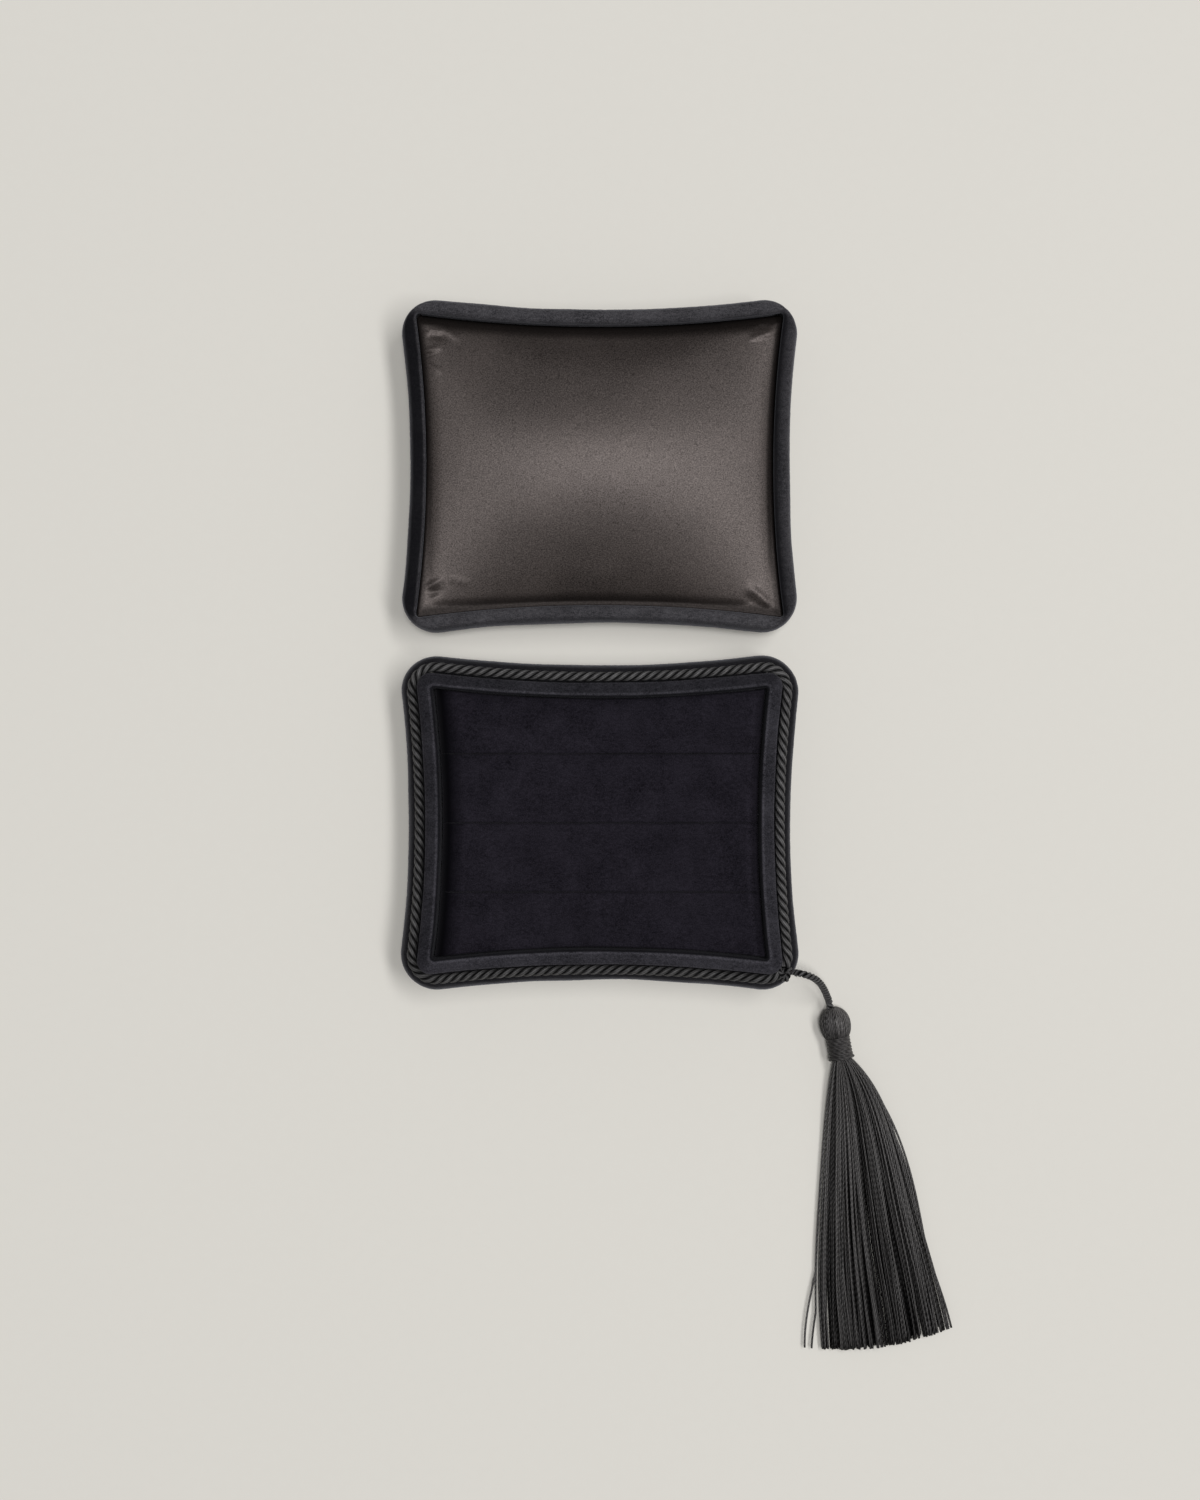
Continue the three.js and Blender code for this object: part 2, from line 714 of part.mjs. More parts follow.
function cushionProfile(depth, bottom) {
  const inset = cushionInset + depth;
  const edge = cushionEdge - depth;
  const shoulder = edge - cushionEdgeRound;
  const round = quarterRound(
    [inset, shoulder],
    [inset + cushionEdgeRound / 2, edge],
    rollSteps,
    true,
  );
  const crown = cushionRingShares.map((share) => {
    const rise = cushionCrown * (1 - (1 - share) ** cushionCrownPower);
    return [inset + (crownInset - inset) * share, edge + rise];
  });
  const start = inset + cushionEdgeRound / 2;
  const rest = crown.filter(([place]) => place > start + depth / 2);
  return withRadius([[inset, bottom], ...round, ...rest], cushionRadius - depth);
}

const satinSolid = toSolid(around(cushionProfile(0, lidFloorTop)));
const satinHollow = toSolid(around(cushionProfile(satinThickness, lidFloorTop - overrun)));
addPiece(caseLid, "satin_cushion", toGeometry(satinSolid.subtract(satinHollow)), satin);

const cushionCardInset = cushionInset + satinThickness + fitGap;
const cushionCardTop = lidFloorTop + cushionBoard;
const cardProfile = withRadius(
  [[cushionCardInset, lidFloorTop], [cushionCardInset, cushionCardTop]],
  cushionRadius - satinThickness - fitGap,
);
addPiece(caseLid, "cushion_board", around(cardProfile), board);

const fillingProfile = cushionProfile(satinThickness + fitGap, cushionCardTop);
addPiece(caseLid, "cushion_filling", around(fillingProfile), wadding);

const jewelryCase = new THREE.Group();
jewelryCase.add(caseBase, caseLid);

export default jewelryCase;
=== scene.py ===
import json
import math
import random

import bpy
import numpy as np
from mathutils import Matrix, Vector, noise


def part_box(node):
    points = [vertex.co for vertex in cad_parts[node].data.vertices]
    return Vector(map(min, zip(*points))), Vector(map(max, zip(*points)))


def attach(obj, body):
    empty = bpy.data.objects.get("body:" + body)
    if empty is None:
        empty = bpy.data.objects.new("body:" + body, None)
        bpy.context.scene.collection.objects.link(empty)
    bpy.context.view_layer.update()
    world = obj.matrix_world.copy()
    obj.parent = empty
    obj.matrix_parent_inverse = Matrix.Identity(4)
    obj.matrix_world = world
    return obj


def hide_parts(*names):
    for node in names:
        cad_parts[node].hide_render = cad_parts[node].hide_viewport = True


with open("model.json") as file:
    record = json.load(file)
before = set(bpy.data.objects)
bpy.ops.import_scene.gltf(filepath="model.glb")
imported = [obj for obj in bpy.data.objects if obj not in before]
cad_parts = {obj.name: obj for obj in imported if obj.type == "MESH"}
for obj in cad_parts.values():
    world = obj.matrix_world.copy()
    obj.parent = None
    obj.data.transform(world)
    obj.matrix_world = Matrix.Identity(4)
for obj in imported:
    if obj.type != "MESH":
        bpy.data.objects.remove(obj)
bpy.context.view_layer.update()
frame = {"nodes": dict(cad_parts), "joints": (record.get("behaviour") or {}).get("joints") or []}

# Camera, straight above the two halves of the case, which lie side by side on a plain pale table.
# The light is soft: a pale room all round, and a broad window high on the right.
camera_height = 1.1
view_width = 0.4628
view_middle = (0.0001, 0.0276)
film_width = 36.0
table_width = 6.0
table_colour = (0.7157, 0.6939, 0.6445)
table_shades = (0.997, 1.003)
table_grain = 0.004
room_light = 0.16
sky_strength = 1.28
sky_spread = 12
sky_lean = (1, 0)
window_strength = 1.5
window_distance = 5.0
window_length = 3.6
window_depth = 0.8
window_lean = (21, 5)
scene = bpy.context.scene


def add_object(name, data):
    thing = bpy.data.objects.new(name, data)
    scene.collection.objects.link(thing)
    return thing


camera_data = bpy.data.cameras.new("camera")
camera_data.sensor_fit = "HORIZONTAL"
camera_data.sensor_width = film_width
camera_data.lens = film_width * camera_height / view_width
camera = add_object("camera", camera_data)
camera.location = (*view_middle, camera_height)
scene.camera = camera
scene.view_settings.view_transform = "Standard"


def join(output, socket):
    socket.id_data.links.new(output, socket)


def add_node(beside, kind, inputs):
    """A new node in the same tree as that node or socket, with some of its inputs set or joined."""
    node = beside.id_data.nodes.new(kind)
    for name, value in inputs.items():
        if isinstance(value, bpy.types.NodeSocket):
            join(value, node.inputs[name])
        else:
            node.inputs[name].default_value = value
    return node


room = bpy.data.worlds.new("room")
room.use_nodes = True
dim_room = room.node_tree.nodes["Background"]
dim_room.inputs["Color"].default_value = (1, 1, 1, 1)
dim_room.inputs["Strength"].default_value = room_light
backdrop = add_node(dim_room, "ShaderNodeBackground", {"Color": (*table_colour, 1)})
seen = add_node(dim_room, "ShaderNodeLightPath", {}).outputs["Is Camera Ray"]
lights = {1: dim_room.outputs["Background"], 2: backdrop.outputs["Background"]}
choice = add_node(dim_room, "ShaderNodeMixShader", {"Fac": seen, **lights})
join(choice.outputs["Shader"], room.node_tree.nodes["World Output"].inputs["Surface"])
scene.world = room


def aim(lamp, lean_right, lean_back):
    """Turns a lamp to shine down from that many degrees right and back of straight above."""
    right = math.tan(math.radians(lean_right))
    back = math.tan(math.radians(lean_back))
    lamp.rotation_euler = Vector((right, back, 1)).to_track_quat("Z", "Y").to_euler()


sky_data = bpy.data.lights.new("skylight", "SUN")
sky_data.energy = sky_strength
sky_data.angle = math.radians(sky_spread)
aim(add_object("skylight", sky_data), *sky_lean)

window_data = bpy.data.lights.new("window", "AREA")
window_data.shape = "RECTANGLE"
window_data.size = window_length
window_data.size_y = window_depth
window_data.energy = window_strength * math.pi * window_distance ** 2
window = add_object("window", window_data)
aim(window, *window_lean)
window_aim = window.rotation_euler.to_matrix() @ Vector((0, 0, window_distance))
window.location = window_aim + Vector((0, view_middle[1], 0))


def new_material(name):
    material = bpy.data.materials.new(name)
    material.use_nodes = True
    return material, material.node_tree.nodes["Principled BSDF"]


def noise_between(shader, size, low, high, detail=2, drawn_out=1):
    """A noise of blobs of that size in metres, as 0 to 1 between the two limits.
    The blobs can be drawn out from left to right, by that many times their size."""
    place = add_node(shader, "ShaderNodeTexCoord", {}).outputs["Object"]
    stretch = {"Vector": place, "Scale": (1 / drawn_out, 1, 1)}
    place = add_node(shader, "ShaderNodeMapping", stretch).outputs["Vector"]
    blobs = {"Vector": place, "Scale": 1 / size, "Detail": detail}
    blobs = add_node(shader, "ShaderNodeTexNoise", blobs).outputs["Fac"]
    spread = {"Value": blobs, "From Min": low, "From Max": high}
    return add_node(shader, "ShaderNodeMapRange", spread).outputs["Result"]


def colour_between(share, dark, light, socket):
    """Gives a socket the colour that lies at that share between dark and light."""
    mix = add_node(share, "ShaderNodeMix", {})
    mix.data_type = "RGBA"
    mix.inputs["A"].default_value = (*dark, 1)
    mix.inputs["B"].default_value = (*light, 1)
    join(share, mix.inputs["Factor"])
    join(mix.outputs["Result"], socket)


def bump(shader, height, distance):
    relief = add_node(shader, "ShaderNodeBump", {"Height": height, "Distance": distance, "Strength": 1})
    join(relief.outputs["Normal"], shader.inputs["Normal"])


def fibrous(name, dark, light, fibre_size, relief=0):
    """A matt material whose colour and surface vary at the size of its fibres or pores."""
    material, shader = new_material(name)
    grain = noise_between(shader, fibre_size, low=0.35, high=0.65, detail=4)
    colour_between(grain, dark, light, shader.inputs["Base Color"])
    shader.inputs["Roughness"].default_value = 1
    if relief:
        bump(shader, grain, relief)
    return material


def mesh_piece(name, points, faces, material, values=None):
    """A new piece from points and faces, with a named value at each point."""
    mesh = bpy.data.meshes.new(name)
    mesh.from_pydata(np.reshape(points, (-1, 3)).tolist(), [], faces)
    for value_name, numbers in (values or {}).items():
        layer = mesh.attributes.new(value_name, "FLOAT", "POINT")
        layer.data.foreach_set("value", np.asarray(numbers, "f").ravel())
    mesh.validate()
    mesh.update()
    mesh.shade_smooth()
    mesh.materials.append(material)
    return add_object(name, mesh)


table_corners = np.array([(-1, -1, 0), (1, -1, 0), (1, 1, 0), (-1, 1, 0)]) * table_width / 2
table_tones = [[part * shade for part in table_colour] for shade in table_shades]
table_paper = fibrous("table_paper", *table_tones, table_grain)
table = mesh_piece("table", table_corners, [(0, 1, 2, 3)], table_paper)

# Cord of the tassel: two plies of twisted rayon cord, tied into the knot at the case's front right
# corner. It leaves the knot to the side, bends over the edge and lies down beside the case.
cord_ply_radius = 0.00068
cord_ply_reach = 0.00066
cord_lay = 0.0038
cord_steps = 190
cord_sides = 25
# Yarns of each ply: how many, how deep in shares of its radius, and their turns in a metre
cord_yarns = (5, 0.12, 160)
# Painted shade: how much painted light a ply keeps in the grooves between its yarns, and on its side
# towards the core
groove_painted_light = 0.38
inner_painted_light = 0.12
# A direction that none of the cords and threads starts in
aside = (0.36, 0.48, 0.8)
# Across and back from the knot's middle, and the share of the way down to the head's middle
cord_route = [
    (0.0033, 0.00025, 0),
    (0.006, 0.0001, -0.16),
    (0.009, -0.0008, -0.13),
    (0.012, -0.0026, 0.06),
    (0.0145, -0.0054, 0.33),
    (0.0162, -0.0084, 0.6),
    (0.0172, -0.0105, 0.8),
    (0.01785, -0.012, 0.93),
    (0.01842, -0.0151, 1),
]

knot_middle = np.mean(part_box("corner_knot"), axis=0)
tassel_joint = next(joint for joint in frame["joints"] if joint["name"] == "tassel_turn")
head_middle = np.array(tassel_joint["pos_m"])


def travelled(lines):
    """How far along its line each point lies."""
    steps = np.linalg.norm(np.diff(lines, axis=-2), axis=-1)
    return np.concatenate([np.zeros_like(steps[..., :1]), np.cumsum(steps, axis=-1)], axis=-1)


def even_line(points, steps):
    """The same line with evenly spaced points."""
    along = travelled(points)
    places = np.linspace(0, along[-1], steps)
    return np.stack([np.interp(places, along, points[:, k]) for k in range(3)], axis=1)


def smooth_line(points, steps):
    """Evenly spaced points on a smooth curve through all the given points."""
    points = np.asarray(points, float)
    padded = np.vstack([2 * points[0] - points[1], points, 2 * points[-1] - points[-2]])
    share = np.linspace(0, 1, 40, endpoint=False)[:, None]
    fine = []
    for index in range(1, len(padded) - 2):
        before, start, end, after = padded[index - 1:index + 3]
        pull = (end - before) * share + (2 * before - 5 * start + 4 * end - after) * share ** 2
        pull += (3 * start - before - 3 * end + after) * share ** 3
        fine.append(start + pull / 2)
    return even_line(np.vstack([*fine, padded[-2]]), steps)


def unit(vectors):
    return vectors / np.linalg.norm(vectors, axis=-1, keepdims=True)


def carried_frames(routes):
    """Directions along and across each route, turned as little as possible on the way."""
    along = unit(np.gradient(routes, axis=1))
    across = np.zeros_like(along)
    across[:, 0] = unit(np.cross(along[:, 0], aside))
    for step in range(1, routes.shape[1]):
        last = across[:, step - 1]
        lean = (last * along[:, step]).sum(-1, keepdims=True)
        across[:, step] = unit(last - lean * along[:, step])
    return along, across, np.cross(along, across)


def numbered(points):
    """The number of each point in a grid of points."""
    return np.arange(points[..., 0].size).reshape(points.shape[:-1])


def quads(grid, is_round=False):
    """Faces between the neighbours in a grid of numbers, whose rows can close into rings."""
    if is_round:
        grid = np.concatenate([grid, grid[..., :1]], axis=-1)
    corners = [grid[..., :-1, :-1], grid[..., :-1, 1:], grid[..., 1:, 1:], grid[..., 1:, :-1]]
    return np.stack(corners, axis=-1).reshape(-1, 4).tolist()


def tubes(name, routes, radius, sides, material, yarns=(0, 0, 0), core=None, light=None):
    """Closed tubes along routes of equal numbers of points, with yarns that wind round each tube.
    Each point knows its place along the tube, its angle round it and the tone of its tube. It also
    holds a painted light: full where it faces away from the core, or up, and painted shade where it
    turns towards the core, in the grooves between its yarns and where the tube's light says."""
    routes = np.asarray(routes, float)
    count, steps = routes.shape[:2]
    yarn_count, yarn_depth, yarn_turns = yarns
    across, beside = carried_frames(routes)[1:]
    travel = travelled(routes)
    angle = np.broadcast_to(np.arange(sides) * 2 * math.pi / sides, (count, steps, sides))
    wound = angle * yarn_count + travel[..., None] * yarn_turns * 2 * math.pi
    ridge = np.sqrt(np.abs(np.cos(wound / 2)))
    size = np.broadcast_to(np.asarray(radius, float), (count, steps))[..., None]
    size = size * (1 - yarn_depth + yarn_depth * ridge * 2)
    outwards = (size * np.cos(angle))[..., None] * across[:, :, None]
    outwards = outwards + (size * np.sin(angle))[..., None] * beside[:, :, None]
    points = routes[:, :, None] + outwards
    grid = numbered(points)
    faces = quads(grid, is_round=True) + grid[:, 0, ::-1].tolist() + grid[:, -1].tolist()
    dice = random.Random(name)
    # Painted light of each point, which the rayon turns into painted shade
    away = np.array([0, 0, 1]) if core is None else unit(routes - core)[:, :, None]
    openness = inner_painted_light + (1 - inner_painted_light) * np.clip((unit(outwards) * away).sum(axis=-1), 0, 1)
    openness = openness * (groove_painted_light + (1 - groove_painted_light) * ridge)
    if light is not None:
        openness = openness * np.asarray(light)[..., None]
    values = {
        "along": np.repeat(travel[..., None], sides, axis=2),
        "turn_x": np.cos(2 * angle),
        "turn_y": np.sin(2 * angle),
        "tone": np.repeat([dice.random() for _ in range(count)], steps * sides),
        "open": np.clip(openness, 0, 1),
    }
    return mesh_piece(name, points, faces, material, values)


def value_of(shader, name):
    """A value that each point of the piece knows."""
    reader = add_node(shader, "ShaderNodeAttribute", {})
    reader.attribute_name = name
    return reader.outputs["Fac"]


def calculate(operation, *terms):
    step = add_node(terms[0], "ShaderNodeMath", dict(enumerate(terms)))
    step.operation = operation
    return step.outputs["Value"]


def times(first, second):
    return calculate("MULTIPLY", first, second)


def plus(first, second):
    return calculate("ADD", first, second)


# Spun rayon: how strongly painted shade darkens covered threads, how far the twist and the fibres stand
# out, how much they (the twist as a painted highlight) and each thread's own tone count in its colour,
# and where painted shade starts to dim its shine
painted_shade_power = 2.0
rayon_relief = 0.0002
rayon_height_share = 0.7
rayon_tone_share = 0.5
rayon_shine_share = 0.3
rayon_shine_start = 0.2
fibre_length = 0.0014
# How far apart in the noise and in their twist the threads of two tones lie
fibre_shift = 90
twist_shift = 60


def twist_height(shader, lay):
    """Ridges of two plies that wind once round the thread in each lay."""
    phase = times(value_of(shader, "along"), 2 * math.pi / lay)
    phase = plus(phase, times(value_of(shader, "tone"), twist_shift))
    first = times(calculate("COSINE", phase), value_of(shader, "turn_x"))
    return plus(first, times(calculate("SINE", phase), value_of(shader, "turn_y")))


def fibre_height(shader, fineness):
    """Single fibres that run along a thread, each for about a fibre's length."""
    run = times(value_of(shader, "along"), 1 / fibre_length)
    place = {
        "X": plus(run, times(value_of(shader, "tone"), fibre_shift)),
        "Y": times(value_of(shader, "turn_x"), fineness),
        "Z": times(value_of(shader, "turn_y"), fineness),
    }
    place = add_node(shader, "ShaderNodeCombineXYZ", place).outputs["Vector"]
    fibres = {"Vector": place, "Scale": 1, "Detail": 2}
    return add_node(shader, "ShaderNodeTexNoise", fibres).outputs["Fac"]


def rayon(name, dark, light, lay, twist_share, fineness, roughness, gloss):
    """Spun rayon: each thread has its own tone, its twist catches the light in small beads of painted
    highlight, and painted shade makes it darker and duller where other threads cover it."""
    material, shader = new_material(name)
    height = plus(times(twist_height(shader, lay), twist_share), fibre_height(shader, fineness))
    tone = times(value_of(shader, "tone"), rayon_tone_share)
    opened = calculate("POWER", value_of(shader, "open"), painted_shade_power)
    share = times(plus(times(height, rayon_height_share), tone), opened)
    colour_between(share, dark, light, shader.inputs["Base Color"])
    bump(shader, height, rayon_relief)
    # Painted shade also dims the gloss where threads are covered, and painted highlight raises it on
    # the twist
    shine = plus(opened, times(height, rayon_shine_share))
    shine = calculate("SUBTRACT", shine, rayon_shine_start)
    colour_between(shine, (0, 0, 0), (1, 1, 1), shader.inputs["Specular Tint"])
    shader.inputs["Roughness"].default_value = roughness
    shader.inputs["Specular IOR Level"].default_value = gloss
    return material


cord_rayon = rayon(
    "cord_rayon", (0.0015, 0.0015, 0.0017), (0.182, 0.177, 0.179),
    lay=0.003, twist_share=0.0, fineness=5, roughness=0.5, gloss=0.5,
)


def twisted(line, plies, reach, lay, side=None):
    """Routes of plies that wind round a line, with the same hand all along it."""
    along, across, beside = (rows[0] for rows in carried_frames(line[None]))
    if side is not None:
        across = side
        beside = np.cross(along, side)
    routes = []
    for ply in range(plies):
        angle = -2 * math.pi * (travelled(line) / lay + ply / plies)[:, None]
        routes.append(line + reach * (np.cos(angle) * across + np.sin(angle) * beside))
    return np.array(routes)


cord_drop = head_middle[2] - knot_middle[2]
cord_points = [
    knot_middle + np.array([across, back, cord_drop * drop]) for across, back, drop in cord_route
]
cord_line = smooth_line(cord_points, cord_steps)
cord = tubes(
    "tassel_cord_plies", twisted(cord_line, 2, cord_ply_reach, cord_lay), cord_ply_radius,
    cord_sides, cord_rayon, yarns=cord_yarns, core=cord_line,
)
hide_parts("tassel_cord")
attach(cord, "cord")

# Boards and padding inside both halves, which the velvet and the satin hide. Grey board is cut and
# glued into trays, and white wadding is laid over the board.
grey_board = fibrous("grey_board", (0.24, 0.225, 0.2), (0.36, 0.34, 0.31), 0.0012, relief=0.0001)
white_wadding = fibrous("white_wadding", (0.62, 0.6, 0.56), (0.84, 0.82, 0.78), 0.0016, relief=0.0006)


def finish(material, *names):
    for name in names:
        for slot in frame["nodes"][name].material_slots:
            slot.material = material


finish(grey_board, "base_tray", "collar_frame")
finish(white_wadding, "base_wadding", "lid_wadding")

# Base cover: black cotton velvet drawn over wadding, turned in under the tray and glued, and run
# over the ledge to the collar. A card covered in the same velvet closes the underside.
case_width = 0.15
case_depth = 0.126
side_draw = 0.003
front_draw = 0.0037
corner_radius = 0.013
sharp_radius = 0.001
velvet_thickness = 0.0009
fit_gap = 0.0003
side_steps = 78
corner_steps = 32
front_steps = 96
foot_steps = 22
roll_steps = 15
hidden_steps = (6, 3)
# Rows beside a cut edge or a fold, which stay where they are
still_rows = 4
base_widest = 0.014
base_foot_inset = 0.006
base_roll_inset = 0.0022
base_turn_in = 0.01
collar_inset = 0.0065
collar_corner_radius = 0.0052
pile_blob = 0.0013
pile_depth = 0.00009
base_fullness = 0.0005
base_foot_light = 1.0
swell_size = 0.021
swell_depth = 0.00035
# The pile's look: size of its fibres and tufts, how much longer than wide a tuft is, how much the
# fibres, the tufts and the brushed patches count, and how far the fibres stand out
fibre_size = 0.00042
tuft_size = 0.0011
tuft_stretch = 1.6
fibre_share, tuft_share, patch_share = (0.62, 0.28, 0.22)
fibre_contrast = 1.5
fibre_relief = 0.00003
sheen_roughness = 0.42


def velvet(name, dark, light, sheen, tint, patch_size=0.013):
    """Cotton pile: nearly black into its depth, with brushed patches and a dusty sheen.
    Each point's painted light scales its colour: painted light and shade for how the window lights it."""
    material, shader = new_material(name)
    fibre = noise_between(shader, fibre_size, low=0.27, high=0.73, detail=4)
    fibre = calculate("POWER", fibre, fibre_contrast)
    tuft = noise_between(shader, tuft_size, low=0.28, high=0.72, detail=4, drawn_out=tuft_stretch)
    patch = noise_between(shader, patch_size, low=0.3, high=0.7)
    share = plus(plus(times(fibre, fibre_share), times(tuft, tuft_share)), times(patch, patch_share))
    # Painted light and shade, which each point holds
    share = times(share, value_of(shader, "painted_light"))
    colour_between(share, dark, light, shader.inputs["Base Color"])
    bump(shader, fibre, fibre_relief)
    shader.inputs["Roughness"].default_value = 1
    shader.inputs["Specular IOR Level"].default_value = 0.04
    shader.inputs["Sheen Weight"].default_value = sheen
    shader.inputs["Sheen Roughness"].default_value = sheen_roughness
    shader.inputs["Sheen Tint"].default_value = (*tint, 1)
    return material


case_velvet = velvet("case_velvet", (0.003, 0.003, 0.004), (0.078, 0.075, 0.082), 0.16, (0.9, 0.9, 1))


def side_arc_radius(length, draw):
    reach = length / 2 - corner_radius
    return (reach ** 2 + (corner_radius - draw) ** 2 - corner_radius ** 2) / (2 * draw)


front_arc = side_arc_radius(case_width, front_draw)
side_arc = side_arc_radius(case_depth, side_draw)
front_centre = np.array([0, case_depth / 2 - front_draw + front_arc])
side_centre = np.array([case_width / 2 - side_draw + side_arc, 0])


def arc(centre, radius, start, end, steps):
    angles = np.linspace(start, end, steps + 1)
    return centre + radius * np.stack([np.cos(angles), np.sin(angles)], axis=1)


def case_ring(inset, height, radius):
    """The case's outline, pulled in by inset. The drawn-in sides are arcs that keep their centres."""
    from_front = front_arc + inset + radius
    from_side = side_arc + inset + radius
    between = side_centre - front_centre
    distance = np.linalg.norm(between)
    reach = (from_front ** 2 - from_side ** 2 + distance ** 2) / (2 * distance)
    offset = math.sqrt(from_front ** 2 - reach ** 2)
    direction = between / distance
    corner = front_centre + direction * reach + offset * np.array([direction[1], -direction[0]])
    side_end = math.pi - math.asin(corner[1] / from_side)
    front_start = math.asin(corner[0] / from_front) - math.pi / 2
    towards_side = np.arctan2(*(side_centre - corner)[::-1])
    towards_front = np.arctan2(*(front_centre - corner)[::-1])
    side = arc(side_centre, side_arc + inset, math.pi, side_end, side_steps)
    rounding = arc(corner, radius, towards_side, towards_front, corner_steps)
    front = arc(front_centre, front_arc + inset, front_start, -math.pi / 2, front_steps)
    quarter = np.vstack([side, rounding[1:], front[1:]])
    quarters = (quarter, (quarter * (-1, 1))[::-1], -quarter, (quarter * (1, -1))[::-1])
    ring = np.vstack([part[1:] for part in quarters])
    return np.column_stack([ring, np.full(len(ring), height)])


def quarter_round(start, end, steps, starts_upright):
    """A quarter of an ellipse that starts upright and ends level, or the other way round."""
    angles = np.linspace(0, math.pi / 2, steps + 1)
    rise = np.sin(angles)
    lag = 1 - np.cos(angles)
    shares = np.column_stack([lag, rise] if starts_upright else [rise, lag])
    return start + np.subtract(end, start) * shares


def straight(start, end, steps):
    return np.linspace(start, end, steps + 1)


def half_of_case(widest, foot_inset, roll_inset, inner_inset, inner_radius):
    """The rules that one half of the case is layered by, as functions of the inset."""
    tighten = (corner_radius - inner_radius) / inner_inset

    def radius_at(inset):
        return max(corner_radius - tighten * inset, sharp_radius)

    def wall(depth, foot, top, foot_count, roll_count):
        rows = []
        for inset, z in quarter_round((foot_inset, foot), (depth, widest), foot_count, False):
            share = (foot_inset - inset) / (foot_inset - depth)
            rows.append((inset, z, corner_radius + (radius_at(depth) - corner_radius) * share))
        roll_end = (max(roll_inset, depth), top)
        roll = quarter_round((depth, widest), roll_end, roll_count, True)[1:]
        return rows + [(inset, z, radius_at(inset)) for inset, z in roll]

    return radius_at, wall


def side_shares():
    """How much each place round the outline belongs to the right, back, left and front sides."""
    ring = case_ring(0, 0, corner_radius)[:, :2]
    ahead = np.roll(ring, -1, axis=0) - np.roll(ring, 1, axis=0)
    outward = unit(np.stack([-ahead[:, 1], ahead[:, 0]], axis=1))
    if (outward * ring).sum() < 0:
        outward = -outward
    sharp = outward ** 4 / (outward ** 4).sum(axis=1, keepdims=True)
    return (np.hstack([sharp, sharp]) * np.hstack([outward > 0, outward <= 0])).T


def side_painted_light(profile, painted_light_inset, right, back, left, front):
    """Painted light of a cover: for each side its painted lightness at the outline and at the inner
    edge.
    """
    insets = np.array([row[0] for row in profile])
    inward = np.clip(insets / painted_light_inset, 0, 1)[:, None]
    sides = zip(side_shares(), (right, back, left, front))
    return sum(share * (outer + (inner - outer) * inward) for share, (outer, inner) in sides)


def even_foot(painted_light, profile, widest_row, foot_light):
    """Below its widest row a cover's painted light fades into one even value towards its foot."""
    reach = profile[widest_row - foot_steps][0] - profile[widest_row][0]
    for k in range(widest_row):
        share = min((profile[k][0] - profile[widest_row][0]) / reach, 1)
        painted_light[k] = painted_light[widest_row] * (1 - share) + foot_light * share


def looped(name, profile, material, painted_light, is_loop=True, centre=(0, 0)):
    """A solid whose section follows the case's outline. Its ends meet, or are closed flat."""
    rings = np.array([case_ring(*row) for row in profile])
    rings[..., :2] += centre
    grid = numbered(rings)
    if is_loop:
        faces = quads(np.vstack([grid, grid[:1]]), is_round=True)
    else:
        faces = quads(grid, is_round=True) + [grid[0, ::-1].tolist(), grid[-1].tolist()]
    return mesh_piece(name, rings, faces, material, {"painted_light": painted_light}), grid.shape[1]


def points_of(piece, measure="co"):
    numbers = np.empty(len(piece.data.vertices) * 3, "f")
    piece.data.vertices.foreach_get(measure, numbers)
    return numbers.reshape(-1, 3)


def move_points(piece, points):
    piece.data.vertices.foreach_set("co", points.ravel())
    piece.data.update()


def push_out(piece, height_at, chosen):
    """Moves the chosen points of a piece out along its surface, by a height for each place."""
    points = points_of(piece)
    normals = points_of(piece, "normal")
    for index in chosen:
        points[index] += normals[index] * height_at(Vector(points[index].tolist()))
    move_points(piece, points)


def soft_pile(seed, swell=swell_depth, tuft=pile_depth):
    """Padding that is never quite even, under pile that stands in small tufts."""
    shift = Vector((seed, 2 * seed, 3 * seed))

    def height_at(place):
        swelling = noise.noise(place / swell_size + shift) * swell
        return swelling + noise.noise(place / pile_blob + shift) * tuft

    return height_at


(_, _, panel_top), (_, _, ledge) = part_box("base_velvet")
ledge_end = collar_inset - fit_gap
base_radius_at, base_wall = half_of_case(
    base_widest, base_foot_inset, base_roll_inset, collar_inset, collar_corner_radius
)
turn_in = base_foot_inset + base_turn_in
panel_back = panel_top + velvet_thickness
ledge_back = ledge - velvet_thickness
base_back = base_wall(velvet_thickness, panel_back, ledge_back, *hidden_steps)
ledge_rows = [
    (inset, z, base_radius_at(inset))
    for inset, z in straight((base_roll_inset, ledge), (ledge_end, ledge), 6)[1:]
]
base_face = base_wall(-base_fullness, panel_top, ledge, foot_steps, roll_steps) + ledge_rows
base_profile = [
    (turn_in, panel_top, corner_radius),
    *base_face,
    (ledge_end, ledge_back, base_radius_at(ledge_end)),
    *base_back[::-1],
    (turn_in, panel_back, corner_radius),
]
# Painted light and shade on the base cover: each side's lightness, with painted shade towards the
# collar
base_painted_light = side_painted_light(
    base_profile, ledge_end,
    right=(0.26, 0.16), back=(0.3, 0.18), left=(0.36, 0.16), front=(0.32, 0.18),
)
even_foot(base_painted_light, base_profile, 1 + foot_steps, base_foot_light)
base_cover, ring_count = looped("base_velvet_cover", base_profile, case_velvet, base_painted_light)
face_points = range(still_rows * ring_count, (1 + len(base_face)) * ring_count)
push_out(base_cover, soft_pile(3), face_points)
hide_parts("base_velvet")
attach(base_cover, "base")
panel_velvet = fibrous("panel_velvet", (0.004, 0.004, 0.005), (0.024, 0.023, 0.027), 0.0005)
finish(panel_velvet, "base_underside_panel")

